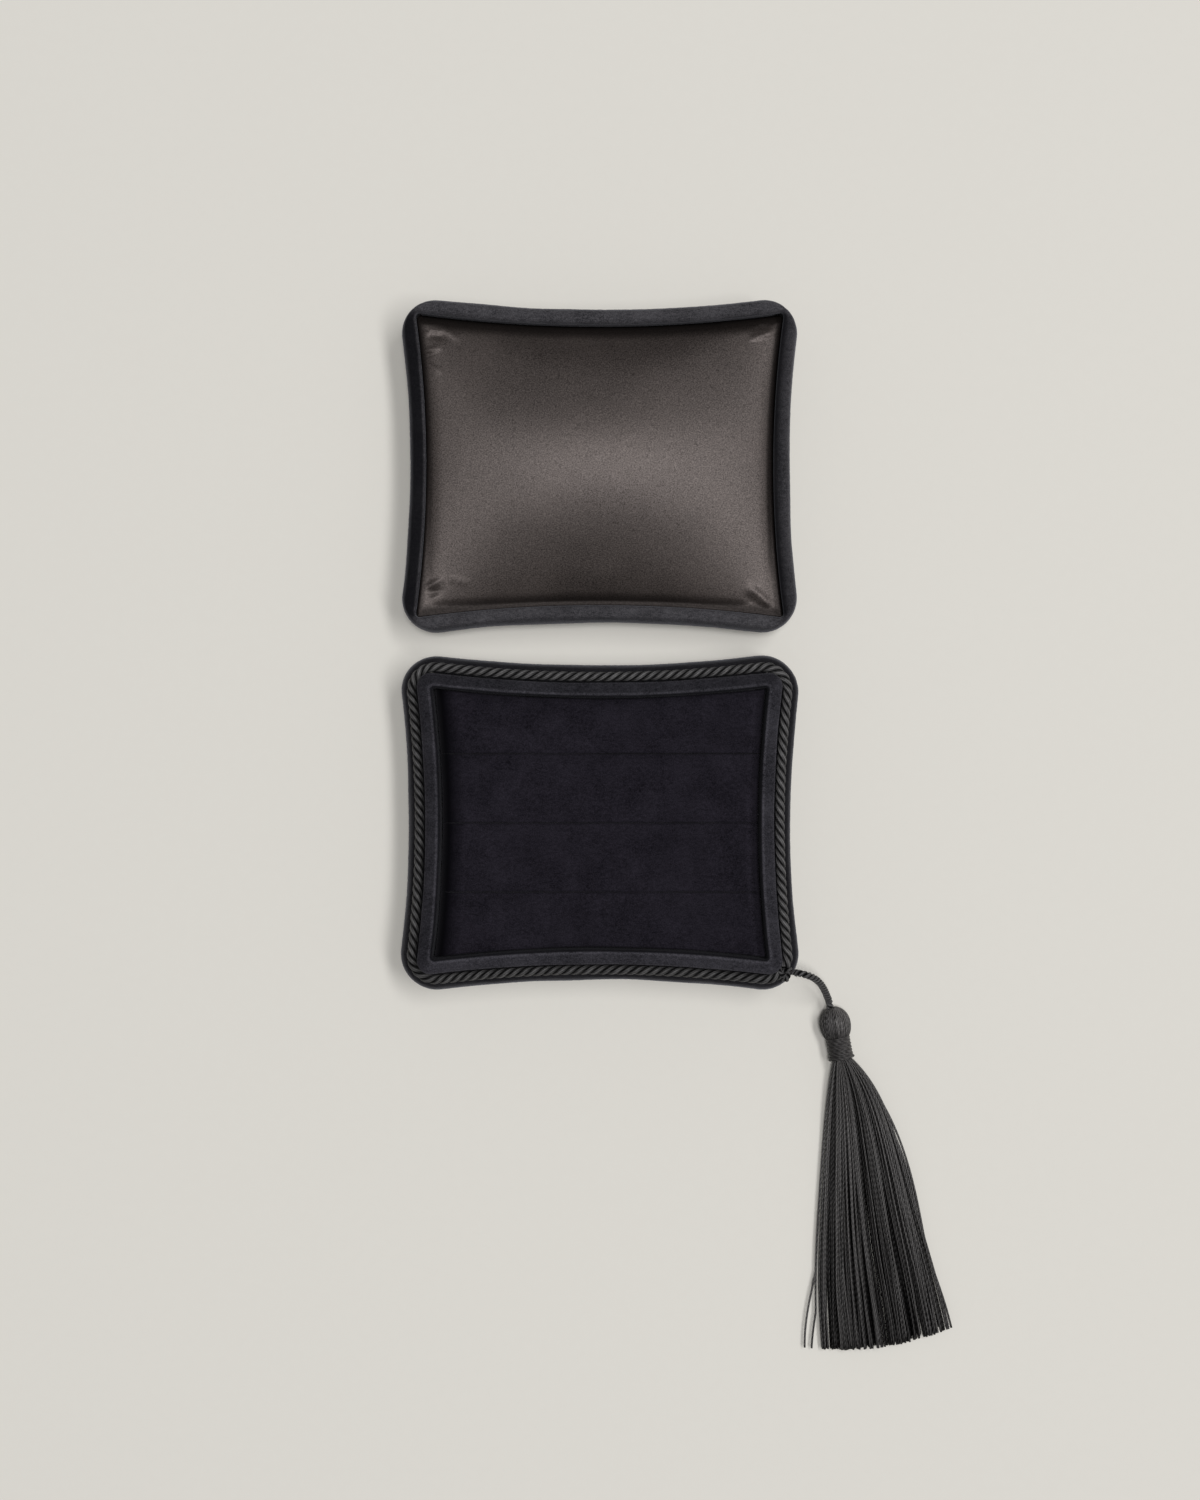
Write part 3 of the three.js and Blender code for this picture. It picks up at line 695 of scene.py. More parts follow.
# Collar: a frame of board wrapped in velvet, glued inside the tray. It stands above the ledge, and
# the lid fits over it. Its top is nearly flat, with small rounded edges.
collar_width = 0.0055
collar_round = 0.0014
collar_edge_steps = 5
collar_top_steps = 7
collar_wall_steps = 12
# Painted sheen: a light line along the collar's top edges; painted shade: its inner wall is kept dark
collar_painted_sheen = 0.8
collar_edge_width = 0.0004
collar_edge_inset = 0.0012
collar_wall_painted_light = 0.25

collar_velvet = velvet(
    "collar_velvet", (0.003, 0.003, 0.004), (0.06, 0.0575, 0.068), 0.03, (0.9, 0.9, 1)
)
(_, _, collar_foot), (_, _, collar_top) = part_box("collar_velvet")
collar_inner = collar_inset + collar_width


def collar_rows(depth, wall_steps, edge_steps, top_steps):
    outer = collar_inset + depth
    inner = collar_inner - depth
    top = collar_top - depth
    shoulder = top - collar_round
    outside = straight((outer, collar_foot), (outer, shoulder), wall_steps)[:-1]
    up = quarter_round((outer, shoulder), (outer + collar_round, top), edge_steps, True)
    over = straight((outer + collar_round, top), (inner - collar_round, top), top_steps)[1:-1]
    down = quarter_round((inner - collar_round, top), (inner, shoulder), edge_steps, False)
    inside = straight((inner, shoulder), (inner, collar_foot), wall_steps)[1:]
    outer_radius = max(collar_corner_radius - depth, sharp_radius)
    rows = []
    for inset, z in np.vstack([outside, up, over, down, inside]):
        share = (inset - outer) / (inner - outer)
        rows.append((inset, z, outer_radius + (sharp_radius - outer_radius) * share))
    return rows


collar_face = collar_rows(0, collar_wall_steps, collar_edge_steps, collar_top_steps)
collar_back = collar_rows(velvet_thickness, 1, 2, 1)
collar_profile = collar_face + collar_back[::-1]
# Painted light and shade on the collar, each side lighter or darker as the window lights it
collar_painted_light = side_painted_light(
    collar_profile, collar_inner,
    right=(0.95, 0.8), back=(0.62, 0.55), left=(0.55, 0.6), front=(0.85, 0.95),
)
for k, (inset, z, _) in enumerate(collar_profile):
    from_edge = min(inset - collar_inset, abs(collar_inner - collar_edge_inset - inset))
    if inset > collar_inner - collar_edge_inset + collar_edge_width:
        collar_painted_light[k] = collar_wall_painted_light
    elif z > collar_top - collar_round + collar_edge_width:
        collar_painted_light[k] += collar_painted_sheen * math.exp(-((from_edge / collar_edge_width) ** 2))
collar, ring_count = looped("collar_velvet_wrap", collar_profile, collar_velvet, collar_painted_light)
collar_out = range(collar_wall_steps * ring_count, (len(collar_face) - still_rows) * ring_count)
push_out(collar, soft_pile(7, swell=0.0002), collar_out)
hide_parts("collar_velvet")
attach(collar, "base")

# Ring pad: four foam rolls wrapped in velvet, packed side by side on a black card inside the collar.
# Rings are held in the three slits between them. The rolls' left ends are drawn down a little.
roll_edge_drop = 0.001
roll_edge_reach = 0.0009
roll_swell = 0.0001
roll_end_drop = (0.0085, 0.0018)
roll_end_reach = (0.005, 0.0018)
# Painted light along a roll, with painted shade at its left end and lighter at its right end: the
# distances from its left end, and from its right end, and the painted light there
roll_left_light = [(0.0025, 0.009), (0, 1)]
roll_right_light = [(0, 0.005), (1.9, 1)]
roll_columns = 150
roll_rows = 34
pad_swell = 0.00028
roll_cover = 0.0012
roll_core_lift = 0.0002
pad_levels = 6
dense_places = 12
dense_reach = 1.1

pad_velvet = velvet(
    "pad_velvet", (0.0018, 0.0016, 0.0026), (0.025, 0.022, 0.0305), 0.05, (0.9, 0.86, 1), 0.009
)


def bowed(centre, radius, reach):
    """Distance of a drawn-in side from the case's middle, for each place along it."""
    return centre - np.sqrt(radius ** 2 - reach ** 2)


def edge_drop(distance, reach, drop):
    share = np.clip(1 - distance / reach, 0, 1)
    return drop * (1 - np.sqrt(1 - share ** 2))


def spread_places(count, first_reach, last_reach, length):
    """Places from one end to the other, closer together where the ends round over."""
    closing = dense_reach * (1 - np.cos(np.linspace(0, math.pi / 2, dense_places)))
    first = closing * first_reach
    last = length - closing[::-1] * last_reach
    middle = np.linspace(first[-1], last[0], count - 2 * dense_places + 2)[1:-1]
    return np.concatenate([first, middle, last]) / length


def closed_pad(name, top, floor, material, value=None):
    """A closed solid under a grid of top points, with upright sides down to the floor."""
    grid = numbered(top)
    faces = quads(grid)
    points = top.reshape(-1, 3)
    border = np.concatenate([grid[0, :-1], grid[:-1, -1], grid[-1, :0:-1], grid[:0:-1, 0]])
    last = border
    for level in range(1, pad_levels + 1):
        ring = points[border].copy()
        ring[:, 2] += (floor - ring[:, 2]) * level / pad_levels
        fresh = np.arange(len(border)) + len(points)
        points = np.vstack([points, ring])
        walls = [last, fresh, np.roll(fresh, -1), np.roll(last, -1)]
        faces += np.stack(walls, axis=1).tolist()
        last = fresh
    faces.append(last[::-1].tolist())
    values = {}
    if value is not None:
        values["painted_light"] = np.append(value, np.tile(value.ravel()[border], pad_levels))
    return mesh_piece(name, points, faces, material, values)


foam = fibrous("foam", (0.46, 0.44, 0.4), (0.66, 0.64, 0.6), 0.0006, relief=0.0002)
black_card = fibrous("black_card", (0.004, 0.004, 0.005), (0.01, 0.01, 0.012), 0.0008)
finish(black_card, "ring_pad_board", "cushion_board", "lid_shell")


def roll_shape(number, inside):
    """Top of one roll and the painted light of its velvet at each place. The foam core lies inside it.
    """
    low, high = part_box(f"ring_roll_{number}")
    width = high[1] - low[1]
    length = high[0] - low[0]
    column = spread_places(roll_columns, *roll_end_reach, length)
    row = spread_places(roll_rows, roll_edge_reach, roll_edge_reach, width)
    share_x, share_y = np.meshgrid(column, row)
    inset = collar_inner + fit_gap
    bow = bowed(front_centre[1], front_arc + inset, low[0] + length * share_x)
    front = (-bow if number == 1 else low[1]) + inside
    back = (bow if number == 4 else high[1]) - inside
    y = front + (back - front) * share_y
    half_length = bowed(side_centre[0], side_arc + inset, y) - inside
    x = half_length * (2 * share_x - 1)
    drop = np.hypot(
        edge_drop(half_length + x, roll_end_reach[0], roll_end_drop[0]),
        edge_drop(half_length - x, roll_end_reach[1], roll_end_drop[1]),
    )
    edge = np.minimum(y - front, back - y)
    drop = np.hypot(drop, edge_drop(edge, roll_edge_reach, roll_edge_drop))
    painted_light = np.interp(half_length + x, *roll_left_light) * np.interp(half_length - x, *roll_right_light)
    return np.stack([x, y, high[2] - inside - drop], axis=-1), painted_light


for number in (1, 2, 3, 4):
    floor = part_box(f"ring_roll_{number}")[0][2]
    roll_top, roll_light = roll_shape(number, inside=-roll_swell)
    roll = closed_pad(f"ring_roll_velvet_{number}", roll_top, floor, pad_velvet, roll_light)
    inner_points = numbered(roll_top)[1:-1, 1:-1].ravel()
    push_out(roll, soft_pile(11 + number, swell=pad_swell), inner_points)
    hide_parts(f"ring_roll_{number}")
    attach(roll, "base")
    core_top, _ = roll_shape(number, inside=roll_cover)
    core = closed_pad(f"ring_roll_core_{number}", core_top, floor + roll_core_lift, foam)
    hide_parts(f"ring_foam_{number}")
    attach(core, "base")

# Rope: three strands of rayon cord laid together, sewn down on the ledge round the collar. Both of
# its ends run into the knot at the front right corner.
rope_strand_radius = 0.00088
rope_strand_reach = 0.00086
rope_lay = 0.0106
rope_step = 0.00038
rope_sides = 30
rope_yarns = (7, 0.11, 170)
rope_end_gap = 0.0016
# Painted shade: the rope is darker along the case's left and front sides
rope_shade = 0.2
rope_shaded_side = (-0.7, -0.7, 0)

rope_low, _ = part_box("edge_rope")
rope_radius = rope_strand_radius + rope_strand_reach
rope_inset = 0.004
rope_line = case_ring(rope_inset, rope_low[2] + rope_radius, corner_radius - rope_inset)
nearest = int(np.argmin(np.linalg.norm(rope_line - knot_middle, axis=1)))
rope_line = np.roll(rope_line, -nearest, axis=0)
rope_line = np.vstack([rope_line, rope_line[:1]])
rope_line = even_line(rope_line, int(travelled(rope_line)[-1] / rope_step))
cut = int(rope_end_gap / rope_step)
rope_line = rope_line[cut:-cut]
rope_along = unit(np.gradient(rope_line, axis=0))
rope_side = unit(np.cross(rope_along, (0, 0, 1)))
rope_outward = rope_side * np.sign((rope_side * rope_line)[:, :2].sum())
rope_light = 1 - rope_shade * np.clip(rope_outward @ rope_shaded_side, 0, 1)
rope = tubes(
    "edge_rope_strands", twisted(rope_line, 3, rope_strand_reach, rope_lay, side=rope_side),
    rope_strand_radius, rope_sides, cord_rayon, yarns=rope_yarns, core=rope_line,
    light=[rope_light] * 3,
)
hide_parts("edge_rope")
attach(rope, "base")

# Corner knot: the rope's ends and the tassel's cord tied in one overhand knot, pulled tight and
# pressed flat on the ledge.
knot_reach = 0.00078
knot_rise = 0.00085
knot_ply_radius = 0.00055
knot_ply_reach = 0.00045
knot_lay = 0.004
knot_steps = 260
knot_sides = 16
knot_start = 100
knot_span = 352

knot_angles = np.linspace(0, math.radians(knot_span), knot_steps) + math.radians(knot_start)
knot_line = knot_middle + np.stack(
    [
        knot_reach * (np.sin(knot_angles) + 2 * np.sin(2 * knot_angles)),
        knot_reach * (np.cos(knot_angles) - 2 * np.cos(2 * knot_angles)),
        -knot_rise * np.sin(3 * knot_angles),
    ],
    axis=1,
)
knot_line = even_line(knot_line, knot_steps)
knot = tubes(
    "corner_knot_cord", twisted(knot_line, 2, knot_ply_reach, knot_lay), knot_ply_radius,
    knot_sides, cord_rayon, yarns=cord_yarns, core=knot_line,
)
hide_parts("corner_knot")
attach(knot, "base")

# Tassel head: rayon threads laid over a turned wooden bead and gathered below it. They lie side by
# side, cross a little, and leave a small hole at the top for the cord.
tassel_turn = math.radians(10.5)
head_low, head_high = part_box("tassel_head")
head_width = head_high[2] - head_low[2]
head_length = 0.0138
head_slimming = 0.0002
head_taper = 0.65
# Painted shade: the head is darker on its left side and towards the neck
head_side_shade = 0.28
head_neck_shade = 0.35
neck_diameter = 0.0066
head_threads = 72
head_thread_radius = 0.00034
head_thread_steps = 30
thread_sides = 8
thread_shift = 0.0008
head_hole = math.radians(13)
head_cross = math.radians(7)
head_layer = 0.00022

tassel_down = (math.sin(tassel_turn), -math.cos(tassel_turn), 0)
tassel_right = (math.cos(tassel_turn), math.sin(tassel_turn), 0)


def in_tassel(right, down, up):
    """Places measured from the middle of the head, along the tassel's own directions.
    The threads lie a little to the right of the bead's middle."""
    right, down, up = np.broadcast_arrays(right, down, up)
    places = np.stack([right + thread_shift, down, up], axis=-1)
    return head_middle + places @ [tassel_right, tassel_down, (0, 0, 1)]


tassel_rayon = rayon(
    "tassel_rayon", (0.0015, 0.0014, 0.0015), (0.155, 0.146, 0.144),
    lay=0.0022, twist_share=0.5, fineness=1.5, roughness=0.42, gloss=0.7,
)

dice = random.Random(5)
neck_angle = math.pi - math.asin(neck_diameter / head_width)
head_half_width = head_width / 2 - head_thread_radius - head_slimming
head_half_length = head_length / 2 - head_thread_radius
head_angles = np.linspace(head_hole, neck_angle, head_thread_steps)
taper = np.where(head_angles > math.pi / 2, head_taper, 1)
head_outline = np.sin(head_angles) ** taper
head_routes = []
head_light = []
for layer in (0, 1):
    for thread in range(head_threads):
        bearing = 2 * math.pi * (thread + layer / 2) / head_threads
        cross = dice.uniform(-head_cross, head_cross) * layer
        lift = dice.uniform(-head_layer, 0) + head_layer * (layer - 1)
        turn = bearing + cross * (head_angles - head_hole)
        reach = (head_half_width + lift) * head_outline
        down = -(head_half_length + lift) * np.cos(head_angles)
        head_routes.append(in_tassel(reach * np.cos(turn), down, reach * np.sin(turn)))
        # Painted shade on the left side and towards the neck
        side_shade = head_side_shade * np.clip(-np.cos(turn), 0, 1)
        head_light.append(1 - side_shade - head_neck_shade * (head_angles / neck_angle) ** 4)
head = tubes(
    "tassel_head_threads", head_routes, head_thread_radius, thread_sides, tassel_rayon,
    core=head_middle, light=head_light,
)
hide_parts("tassel_head")
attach(head, "tassel")
turned_wood = fibrous("turned_wood", (0.3, 0.19, 0.1), (0.48, 0.33, 0.19), 0.0009, relief=0.0001)
finish(turned_wood, "tassel_bead")

# Binding: one fine cord wound tightly round the neck of the tassel, from the head down to the
# skirt, with its last turns over the first.
binding_reach = 0.0043
binding_thread_radius = 0.0003
binding_pitch = 0.00046
binding_length = 0.0081
binding_sag = 0.00015
binding_rim = 0.00045
binding_rim_width = 0.001
binding_shade = 0.2
binding_turn_steps = 34
binding_sides = 10
binding_waves = 1.37
binding_yarns = (5, 0.12, 500)

neck_top = -head_half_length * math.cos(neck_angle)
binding_turns = binding_length / binding_pitch
binding_angles = np.linspace(0, 2 * math.pi * binding_turns, int(binding_turns * binding_turn_steps))
binding_run = binding_pitch * binding_angles / (2 * math.pi)
binding_down = neck_top - binding_thread_radius + binding_run
binding_wave = binding_reach + binding_sag * np.sin(binding_angles * binding_waves)
binding_wave += binding_rim * np.exp(-(((binding_length - binding_run) / binding_rim_width) ** 2))
binding_route = in_tassel(
    binding_wave * np.cos(binding_angles), binding_down, binding_wave * np.sin(binding_angles)
)
binding_core = in_tassel(0.0, binding_down, 0.0)
# Painted shade: each turn of the binding is darker on its left side
binding = tubes(
    "tassel_binding_cord", [binding_route], binding_thread_radius, binding_sides, tassel_rayon,
    yarns=binding_yarns, core=binding_core, light=[1 - binding_shade * (1 - np.cos(binding_angles))],
)
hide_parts("tassel_binding")
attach(binding, "tassel")

# Skirt: several hundred spun rayon threads, folded over the bead, bound at the neck and cut to one
# length. They lie in a loose fan on the table, with a few strays at its edges.
skirt_start = 0.0126
skirt_length = 0.1132
skirt_width = 0.052
skirt_strands = 270
skirt_strand_radius = 0.0004
skirt_strand_steps = 46
skirt_fan_shares = [0, 0.02, 0.07, 0.12, 0.19, 0.31, 0.43, 0.585, 0.725, 0.865, 1]
skirt_width_shares = [0.125, 0.15, 0.267, 0.356, 0.448, 0.558, 0.653, 0.771, 0.869, 0.944, 1]
skirt_lean_shares = [0, 0.005, 0.022, 0.034, 0.033, 0.005, -0.009, -0.016, -0.048, -0.067, -0.07]
# How high the skirt's middle lies, half its thickness and how much its threads are squeezed, from
# the neck to its end
skirt_rise_shares = [0, 0.03, 0.25, 1]
skirt_middle_heights = [0.0063, 0.0057, 0.0031, 0.0025]
skirt_half_heights = [0.0034, 0.0039, 0.0028, 0.0024]
skirt_squeezes = [0.5, 0.62, 1, 1]
skirt_fullness = 0.8
skirt_wander = 0.001
skirt_kink = 0.00022
skirt_uneven_end = 0.022
# Painted shade: threads deep in the skirt are darker; every thread also grows darker towards its cut
# end
skirt_light_depth = 0.0022
skirt_end_shade = 0.22
# Strays: which side they leave, at which shares of the length they leave and return, and how far out
skirt_strays = [
    (-1, 0.72, 1.3, 0.0046), (-1, 0.86, 1.24, 0.0022), (1, 0.18, 0.66, 0.0017),
    (1, 0.3, 0.58, 0.0009), (1, 0.8, 1.3, 0.0012),
]

dice = random.Random(11)
travel = np.linspace(0, 1, skirt_strand_steps)


def skirt_edges(share):
    """Half the fan's width and how far it leans, on smooth curves through the shares above."""
    half = skirt_width / 2 * np.polyval(np.polyfit(skirt_fan_shares, skirt_width_shares, 5), share)
    lean = skirt_width * np.polyval(np.polyfit(skirt_fan_shares, skirt_lean_shares, 4), share)
    return half, lean


def wavering(size, slowest, fastest):
    swing = dice.uniform(-1, 1) * size
    return swing * np.sin(travel * dice.uniform(slowest, fastest) + dice.uniform(0, 6))


def on_table(share, right, raised):
    """Places of a strand of the fan, which hangs on an arc and never sinks into the table."""
    bow = np.sqrt(skirt_length ** 2 - (right * share) ** 2)
    middle = np.interp(share, skirt_rise_shares, skirt_middle_heights)
    half_height = np.interp(share, skirt_rise_shares, skirt_half_heights) - skirt_strand_radius
    up = middle + half_height * raised + wavering(skirt_kink, 3, 12) * travel
    up = np.maximum(up, skirt_strand_radius) - head_middle[2]
    return in_tassel(right, skirt_start + bow * share, up)


skirt_routes = []
skirt_light = []
for _ in range(skirt_strands):
    spot = 2 * math.pi * dice.random()
    depth = math.sqrt(dice.random())
    flat = math.copysign(abs(depth * math.cos(spot)) ** skirt_fullness, math.cos(spot))
    raised = depth * math.sin(spot)
    share = travel * (1 - skirt_uneven_end * dice.random() ** 2)
    half, lean = skirt_edges(share)
    wander = wavering(skirt_wander, 2, 7) + wavering(skirt_kink, 9, 20)
    right = lean + (half - skirt_strand_radius) * flat + wander * np.sqrt(travel)
    skirt_routes.append(on_table(share, right, raised))
    # Painted shade for threads that lie under others
    covered = (math.sqrt(max(1 - flat ** 2, 0)) - raised) * skirt_half_heights[-1]
    skirt_light.append(math.exp(-max(covered, 0) / skirt_light_depth) * (1 - skirt_end_shade * travel))
for side, leaving, returning, reach in skirt_strays:
    half, lean = skirt_edges(travel)
    away = np.sin(math.pi * np.clip((travel - leaving) / (returning - leaving), 0, 1)) * reach
    skirt_routes.append(on_table(travel, lean + side * (half - skirt_strand_radius + away), 0))
    skirt_light.append(1 - skirt_end_shade * travel)
skirt_squeeze = np.interp(travel, skirt_rise_shares, skirt_squeezes)
skirt = tubes(
    "tassel_skirt_threads", skirt_routes, skirt_strand_radius * skirt_squeeze, thread_sides,
    tassel_rayon, light=skirt_light,
)
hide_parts("tassel_skirt")
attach(skirt, "tassel")

# Lid cover: the same velvet over a thick pillow of wadding, run over the rim of the board box and
# down its inside wall. The lid lies upside down on its padded top.
lid_widest = 0.017
lid_foot_inset = 0.012
lid_foot_light = 0.9
lid_top_inset = 0.045
lid_top_radius = 0.003
lid_top_rows = 8
lid_roll_inset = 0.0025
lid_opening_inset = 0.0058
lid_opening_radius = 0.0026
lid_lip_inset = 0.00635
lid_lip_radius = 0.0013
lid_lip_round = 0.0022
lid_lip_height = 0.0028
# Painted highlight: a thin light line along the inner edge of the left rim
lid_edge_highlight = 1.1
lid_highlight_inset = 0.0005
lid_highlight_width = 0.0004
lid_floor_inset = 0.0049
lid_floor = 0.0128

lid_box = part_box("lid_velvet")
lid_middle = np.mean(lid_box, axis=0)[:2]
lid_rim = lid_box[1][2]
lid_radius_at, lid_wall = half_of_case(
    lid_widest, lid_foot_inset, lid_roll_inset, lid_lip_inset, lid_lip_radius
)
rim_inner = lid_lip_inset - lid_lip_round
lip_end = lid_rim - lid_lip_round
wall_start = lip_end - lid_lip_height
lid_flat = straight((lid_roll_inset, lid_rim), (rim_inner, lid_rim), 5)[1:]
lid_lip = quarter_round((rim_inner, lid_rim), (lid_lip_inset, lip_end), 8, False)[1:]
lid_tuck = quarter_round((lid_lip_inset, lip_end), (lid_opening_inset, wall_start), 6, True)[1:]
lid_inside = straight((lid_opening_inset, wall_start), (lid_opening_inset, lid_floor), 12)[1:]
lid_lining = [(inset, z, lid_radius_at(inset)) for inset, z in np.vstack([lid_flat, lid_lip])]
for inset, z in np.vstack([lid_tuck, lid_inside]):
    share = (lid_lip_inset - inset) / (lid_lip_inset - lid_opening_inset)
    lid_lining.append((inset, z, lid_lip_radius + (lid_opening_radius - lid_lip_radius) * share))
# The padded top lies flat on the table
lid_top = straight((lid_top_inset, 0, lid_top_radius), (lid_foot_inset, 0, corner_radius), lid_top_rows)
lid_top = lid_top[:-1].tolist()
lid_face = lid_top + lid_wall(0, 0, lid_rim, foot_steps, roll_steps) + lid_lining
rim_back = lid_rim - velvet_thickness
lid_back = lid_wall(velvet_thickness, velvet_thickness, rim_back, *hidden_steps)
lid_profile = [
    *lid_face,
    (lid_floor_inset, lid_floor, lid_radius_at(lid_floor_inset)),
    (lid_floor_inset, rim_back - lid_lip_round / 2, lid_radius_at(lid_floor_inset)),
    (rim_inner, rim_back, lid_radius_at(rim_inner)),
    *lid_back[::-1],
]
# Painted light and shade on the lid: back, front and right rims lit, the left rim and the right rim's
# inner half in painted shade
lid_painted_light = side_painted_light(
    lid_profile, lid_opening_inset,
    right=(1.45, 0.12), back=(1.45, 1.15), left=(0.1, 0.14), front=(1.05, 1.35),
)
even_foot(lid_painted_light, lid_profile, lid_top_rows + foot_steps, lid_foot_light)
# Painted highlight along the inner edge of the left rim
left_side = side_shares()[2]
for k, (inset, z, _) in enumerate(lid_profile):
    from_highlight = (inset - lid_lip_inset + lid_highlight_inset) / lid_highlight_width
    if z > lip_end:
        lid_painted_light[k] += left_side * lid_edge_highlight * math.exp(-(from_highlight ** 2))
lid_cover, ring_count = looped(
    "lid_velvet_cover", lid_profile, case_velvet, lid_painted_light, is_loop=False, centre=lid_middle
)
# Inside its lip, where it slides over the collar, the cover is pressed even
lid_first = (lid_top_rows + still_rows) * ring_count
lid_last = (len(lid_face) - len(lid_tuck) - len(lid_inside) - still_rows) * ring_count
push_out(lid_cover, soft_pile(23), range(lid_first, lid_last))
# Where the cover was folded round the back right corner, two short creases cross
crease_middle = np.array([0.0716, 0.197])
crease_arms = ((0.0026, -0.0014), (0.0018, 0.0026))
crease_depth = -0.0011
crease_width = 0.00085
crease_shade = 0.9
fold_fade = 0.6


def fold_height(points, start, end, rise, width):
    """A fold of that height along a short line, which dies out past its two ends."""
    run = np.array(end) - np.array(start)
    offset = points[:, :2] - start
    share = offset @ run / (run @ run)
    nearest = np.array(start) + np.clip(share, 0, 1)[:, None] * run
    far = np.linalg.norm(points[:, :2] - nearest, axis=1)
    fading = 1 - np.abs(2 * np.clip(share, 0, 1) - 1) ** 3 * fold_fade
    return rise * fading * np.exp(-((far / width) ** 2))


lid_points = points_of(lid_cover)
crease = np.zeros(len(lid_points))
for arm in crease_arms:
    start = crease_middle - arm
    crease += fold_height(lid_points, start, crease_middle + arm, crease_depth, crease_width)
crease = np.where(lid_points[:, 2] > lid_widest, np.maximum(crease, crease_depth), 0)
lid_points[:, 2] += crease
# Painted shade in the creases
creased_painted_light = lid_painted_light.ravel() * (1 - crease_shade * crease / crease_depth)
lid_cover.data.attributes["painted_light"].data.foreach_set("value", creased_painted_light.astype("f"))
move_points(lid_cover, lid_points)
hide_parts("lid_velvet")
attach(lid_cover, "lid")

# Satin cushion: taupe satin drawn over wadding on a card and pressed into the lid. It is crowned in
# the middle, and the spare cloth at its corners lies in small puckers.
cushion_edge = 0.016
cushion_crown = 0.007
cushion_flatness = 2.0
cushion_fullness = 0.85
cushion_fall_front = 0.0015
cushion_crown_back = 0.1
cushion_side_roll = (0.0065, 0.0022)
cushion_front_roll = (0.0062, 0.003)
fold_rise = 0.55
fold_slimness = 0.78
# Folds of the spare cloth: which corner, from and to (inwards from its two sides), height, width
cushion_folds = [
    ("back left", (0.001, 0.002), (0.0076, 0.0016), 0.0007, 0.001),
    ("back left", (0.007, 0.0016), (0.014, 0.008), 0.0008, 0.0009),
    ("back left", (0.0035, 0.0062), (0.009, 0.0072), -0.0008, 0.0016),
    ("back left", (0.0004, 0.0062), (0.0034, 0.0058), 0.0006, 0.0006),
    ("back left", (0.0003, 0.013), (0.0076, 0.0111), 0.0006, 0.0007),
    ("back left", (0.0003, 0.0142), (0.005, 0.0134), -0.0005, 0.0006),
    ("back left", (0.0006, 0.016), (0.0076, 0.0206), 0.0005, 0.0008),
    ("front left", (0.002, 0.01), (0.0076, 0.0132), 0.0007, 0.0008),
    ("front left", (0.003, 0.008), (0.007, 0.009), -0.0008, 0.0012),
    ("front left", (0.0006, 0.0024), (0.0114, 0.0018), 0.0006, 0.0009),
    ("front left", (0.0115, 0.0125), (0.0135, 0.014), 0.0003, 0.0006),
    ("front left", (0.014, 0.0118), (0.0158, 0.0134), 0.0003, 0.0006),
    ("front left", (0.0165, 0.0112), (0.018, 0.0128), 0.0003, 0.0006),
    ("front right", (0.0024, 0.0024), (0.0106, 0.01), 0.0008, 0.002),
    ("front right", (0.0085, 0.0045), (0.0125, 0.0065), -0.0006, 0.0018),
    ("back right", (0.0005, 0.0046), (0.011, 0.008), 0.0007, 0.0009),
    ("back right", (0.0045, 0.0033), (0.01, 0.0042), -0.0007, 0.0011),
    ("back right", (0.0022, 0.001), (0.01, 0.001), 0.0005, 0.0008),
]
cushion_spacing = 0.001
cushion_swell = 0.0016
satin_thickness = 0.0008
cushion_corner_draw = (0.0012, 0.0012)
cushion_border_shade = 0.75
cushion_side_shade = (0.0008, 0.003)
cushion_front_shade = (0.003, 0.0058)
cloth_frames = 20
cloth_pressure = 4

# The satin's look: size of its weave and of its broad shades, how much both count in its colour,
# and how much of its gloss the weave takes
weave_size = 0.00044
shade_size = 0.03
weave_share = 0.7
shade_share = 0.3
weave_gloss = 0.7
even_gloss = 0.28
weave_relief = 0.000004

satin, shader = new_material("satin")
weave = noise_between(shader, weave_size, low=0.24, high=0.7)
shade = noise_between(shader, shade_size, low=0.3, high=0.7)
satin_share = times(
    plus(times(weave, weave_share), times(shade, shade_share)), value_of(shader, "painted_light")
)
colour_between(
    satin_share, (0.0045, 0.0036, 0.0034), (0.05, 0.0415, 0.0385), shader.inputs["Base Color"]
)
bump(shader, weave, weave_relief)
# Painted shade along the border also dims the gloss
uneven_gloss = times(plus(times(weave, weave_gloss), even_gloss), value_of(shader, "painted_light"))
colour_between(uneven_gloss, (0, 0, 0), (1, 0.87, 0.83), shader.inputs["Specular Tint"])
shader.inputs["Roughness"].default_value = 0.38
shader.inputs["Specular IOR Level"].default_value = 0.51
shader.inputs["Anisotropic"].default_value = 0.9
tangent = add_node(shader, "ShaderNodeTangent", {})
tangent.direction_type = "UV_MAP"
tangent.uv_map = "weave"
join(tangent.outputs["Tangent"], shader.inputs["Tangent"])


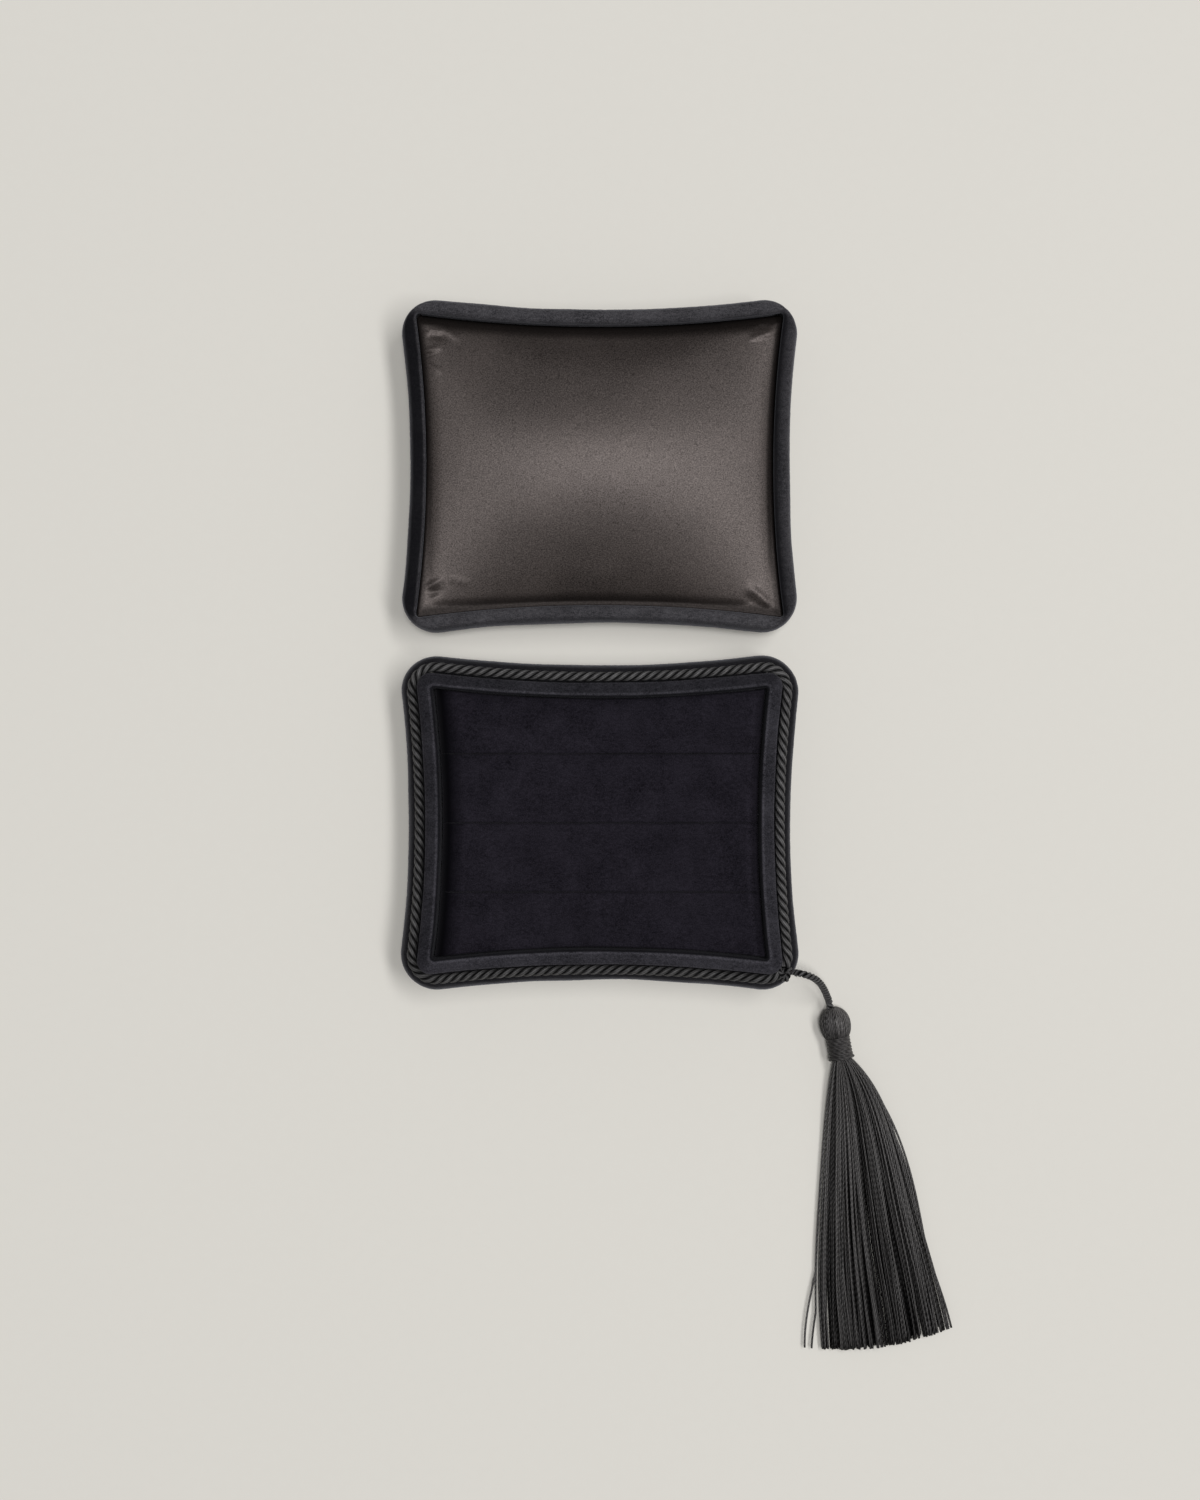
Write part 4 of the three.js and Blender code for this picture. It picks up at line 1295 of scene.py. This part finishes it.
def puffed(name, top, most):
    """A cloth held along its border and blown up a little, as padding under it would do."""
    grid = numbered(top)
    sheet = mesh_piece(name, top, quads(grid), satin)
    held = sheet.vertex_groups.new(name="held")
    border = np.concatenate([grid[0], grid[-1], grid[:, 0], grid[:, -1]])
    held.add([int(index) for index in border], 1.0, "REPLACE")
    cloth = sheet.modifiers.new("cloth", "CLOTH")
    cloth.settings.use_pressure = True
    cloth.settings.uniform_pressure_force = cloth_pressure
    cloth.settings.vertex_group_mass = "held"
    cloth.settings.effector_weights.gravity = 0
    cloth.collision_settings.use_collision = False
    cloth.point_cache.frame_start = 1
    cloth.point_cache.frame_end = cloth_frames
    for frame_number in range(1, cloth_frames + 1):
        scene.frame_set(frame_number)
    blown = sheet.evaluated_get(bpy.context.evaluated_depsgraph_get())
    moved = points_of(blown).reshape(top.shape) - top
    bpy.data.objects.remove(sheet)
    scene.frame_set(1)
    far = np.linalg.norm(moved, axis=-1, keepdims=True)
    return top + moved * np.minimum(1, most / np.maximum(far, 1e-9))


satin_low, satin_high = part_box("satin_cushion")
cushion_inset = lid_opening_inset + fit_gap
cushion_length = satin_high[0] - satin_low[0]
cushion_depth = satin_high[1] - satin_low[1]
columns = np.linspace(-1, 1, int(cushion_length / cushion_spacing))
rows = np.linspace(-1, 1, int(cushion_depth / cushion_spacing))
across, back = np.meshgrid(columns, rows)
y = bowed(front_centre[1], front_arc + cushion_inset, across * cushion_length / 2) * back
x = bowed(side_centre[0], side_arc + cushion_inset, y) * across
crown_x = np.clip(1 - np.abs(across) ** cushion_flatness, 0, 1) ** cushion_fullness
moved_back = back - cushion_crown_back * (1 - back ** 2)
crown_y = np.clip(1 - np.abs(moved_back) ** cushion_flatness, 0, 1) ** cushion_fullness
crown = cushion_edge + cushion_crown * crown_x * crown_y + cushion_fall_front * back
cushion_top = np.stack([x, y + lid_middle[1], crown], axis=-1)
cushion_top = puffed("satin_sheet", cushion_top, cushion_swell)
from_side = bowed(side_centre[0], side_arc + cushion_inset, y) - np.abs(x)
from_front = bowed(front_centre[1], front_arc + cushion_inset, x) - np.abs(y)
cushion_top[..., 2] -= np.hypot(
    edge_drop(from_side, *cushion_side_roll), edge_drop(from_front, *cushion_front_roll)
)
for corner, start, end, rise, width in cushion_folds:
    inward = (
        cushion_length / 2 - x if "right" in corner else cushion_length / 2 + x,
        cushion_depth / 2 - y if "back" in corner else cushion_depth / 2 + y,
    )
    places = np.reshape(inward, (2, -1)).T - cushion_corner_draw
    fold = fold_height(places, start, end, rise * fold_rise, width * fold_slimness)
    cushion_top[..., 2] += fold.reshape(x.shape)
filling_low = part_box("cushion_filling")[0][2]
cushion_top[..., 2] = np.maximum(cushion_top[..., 2], filling_low + 1.5 * satin_thickness)
# Painted shade: the satin is darker in a band along its border, next to the lid's inner wall
satin_light = np.minimum(
    np.interp(from_side, cushion_side_shade, (1 - cushion_border_shade, 1)),
    np.interp(from_front, cushion_front_shade, (1 - cushion_border_shade, 1)),
)
cushion = closed_pad("satin_cushion_cover", cushion_top, satin_low[2], satin, satin_light)
uv_layer = cushion.data.uv_layers.new(name="weave")
for loop in cushion.data.loops:
    place = cushion.data.vertices[loop.vertex_index].co
    uv_layer.data[loop.index].uv = (place.x / cushion_length, place.y / cushion_length)
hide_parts("satin_cushion")
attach(cushion, "lid")
filling_size = 1 - 2 * satin_thickness / cushion_depth
filling_top = (cushion_top - (*lid_middle, 0)) * (filling_size, filling_size, 1)
filling_top += (*lid_middle, -satin_thickness)
filling = closed_pad("cushion_wadding", filling_top, filling_low, white_wadding)
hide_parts("cushion_filling")
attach(filling, "lid")
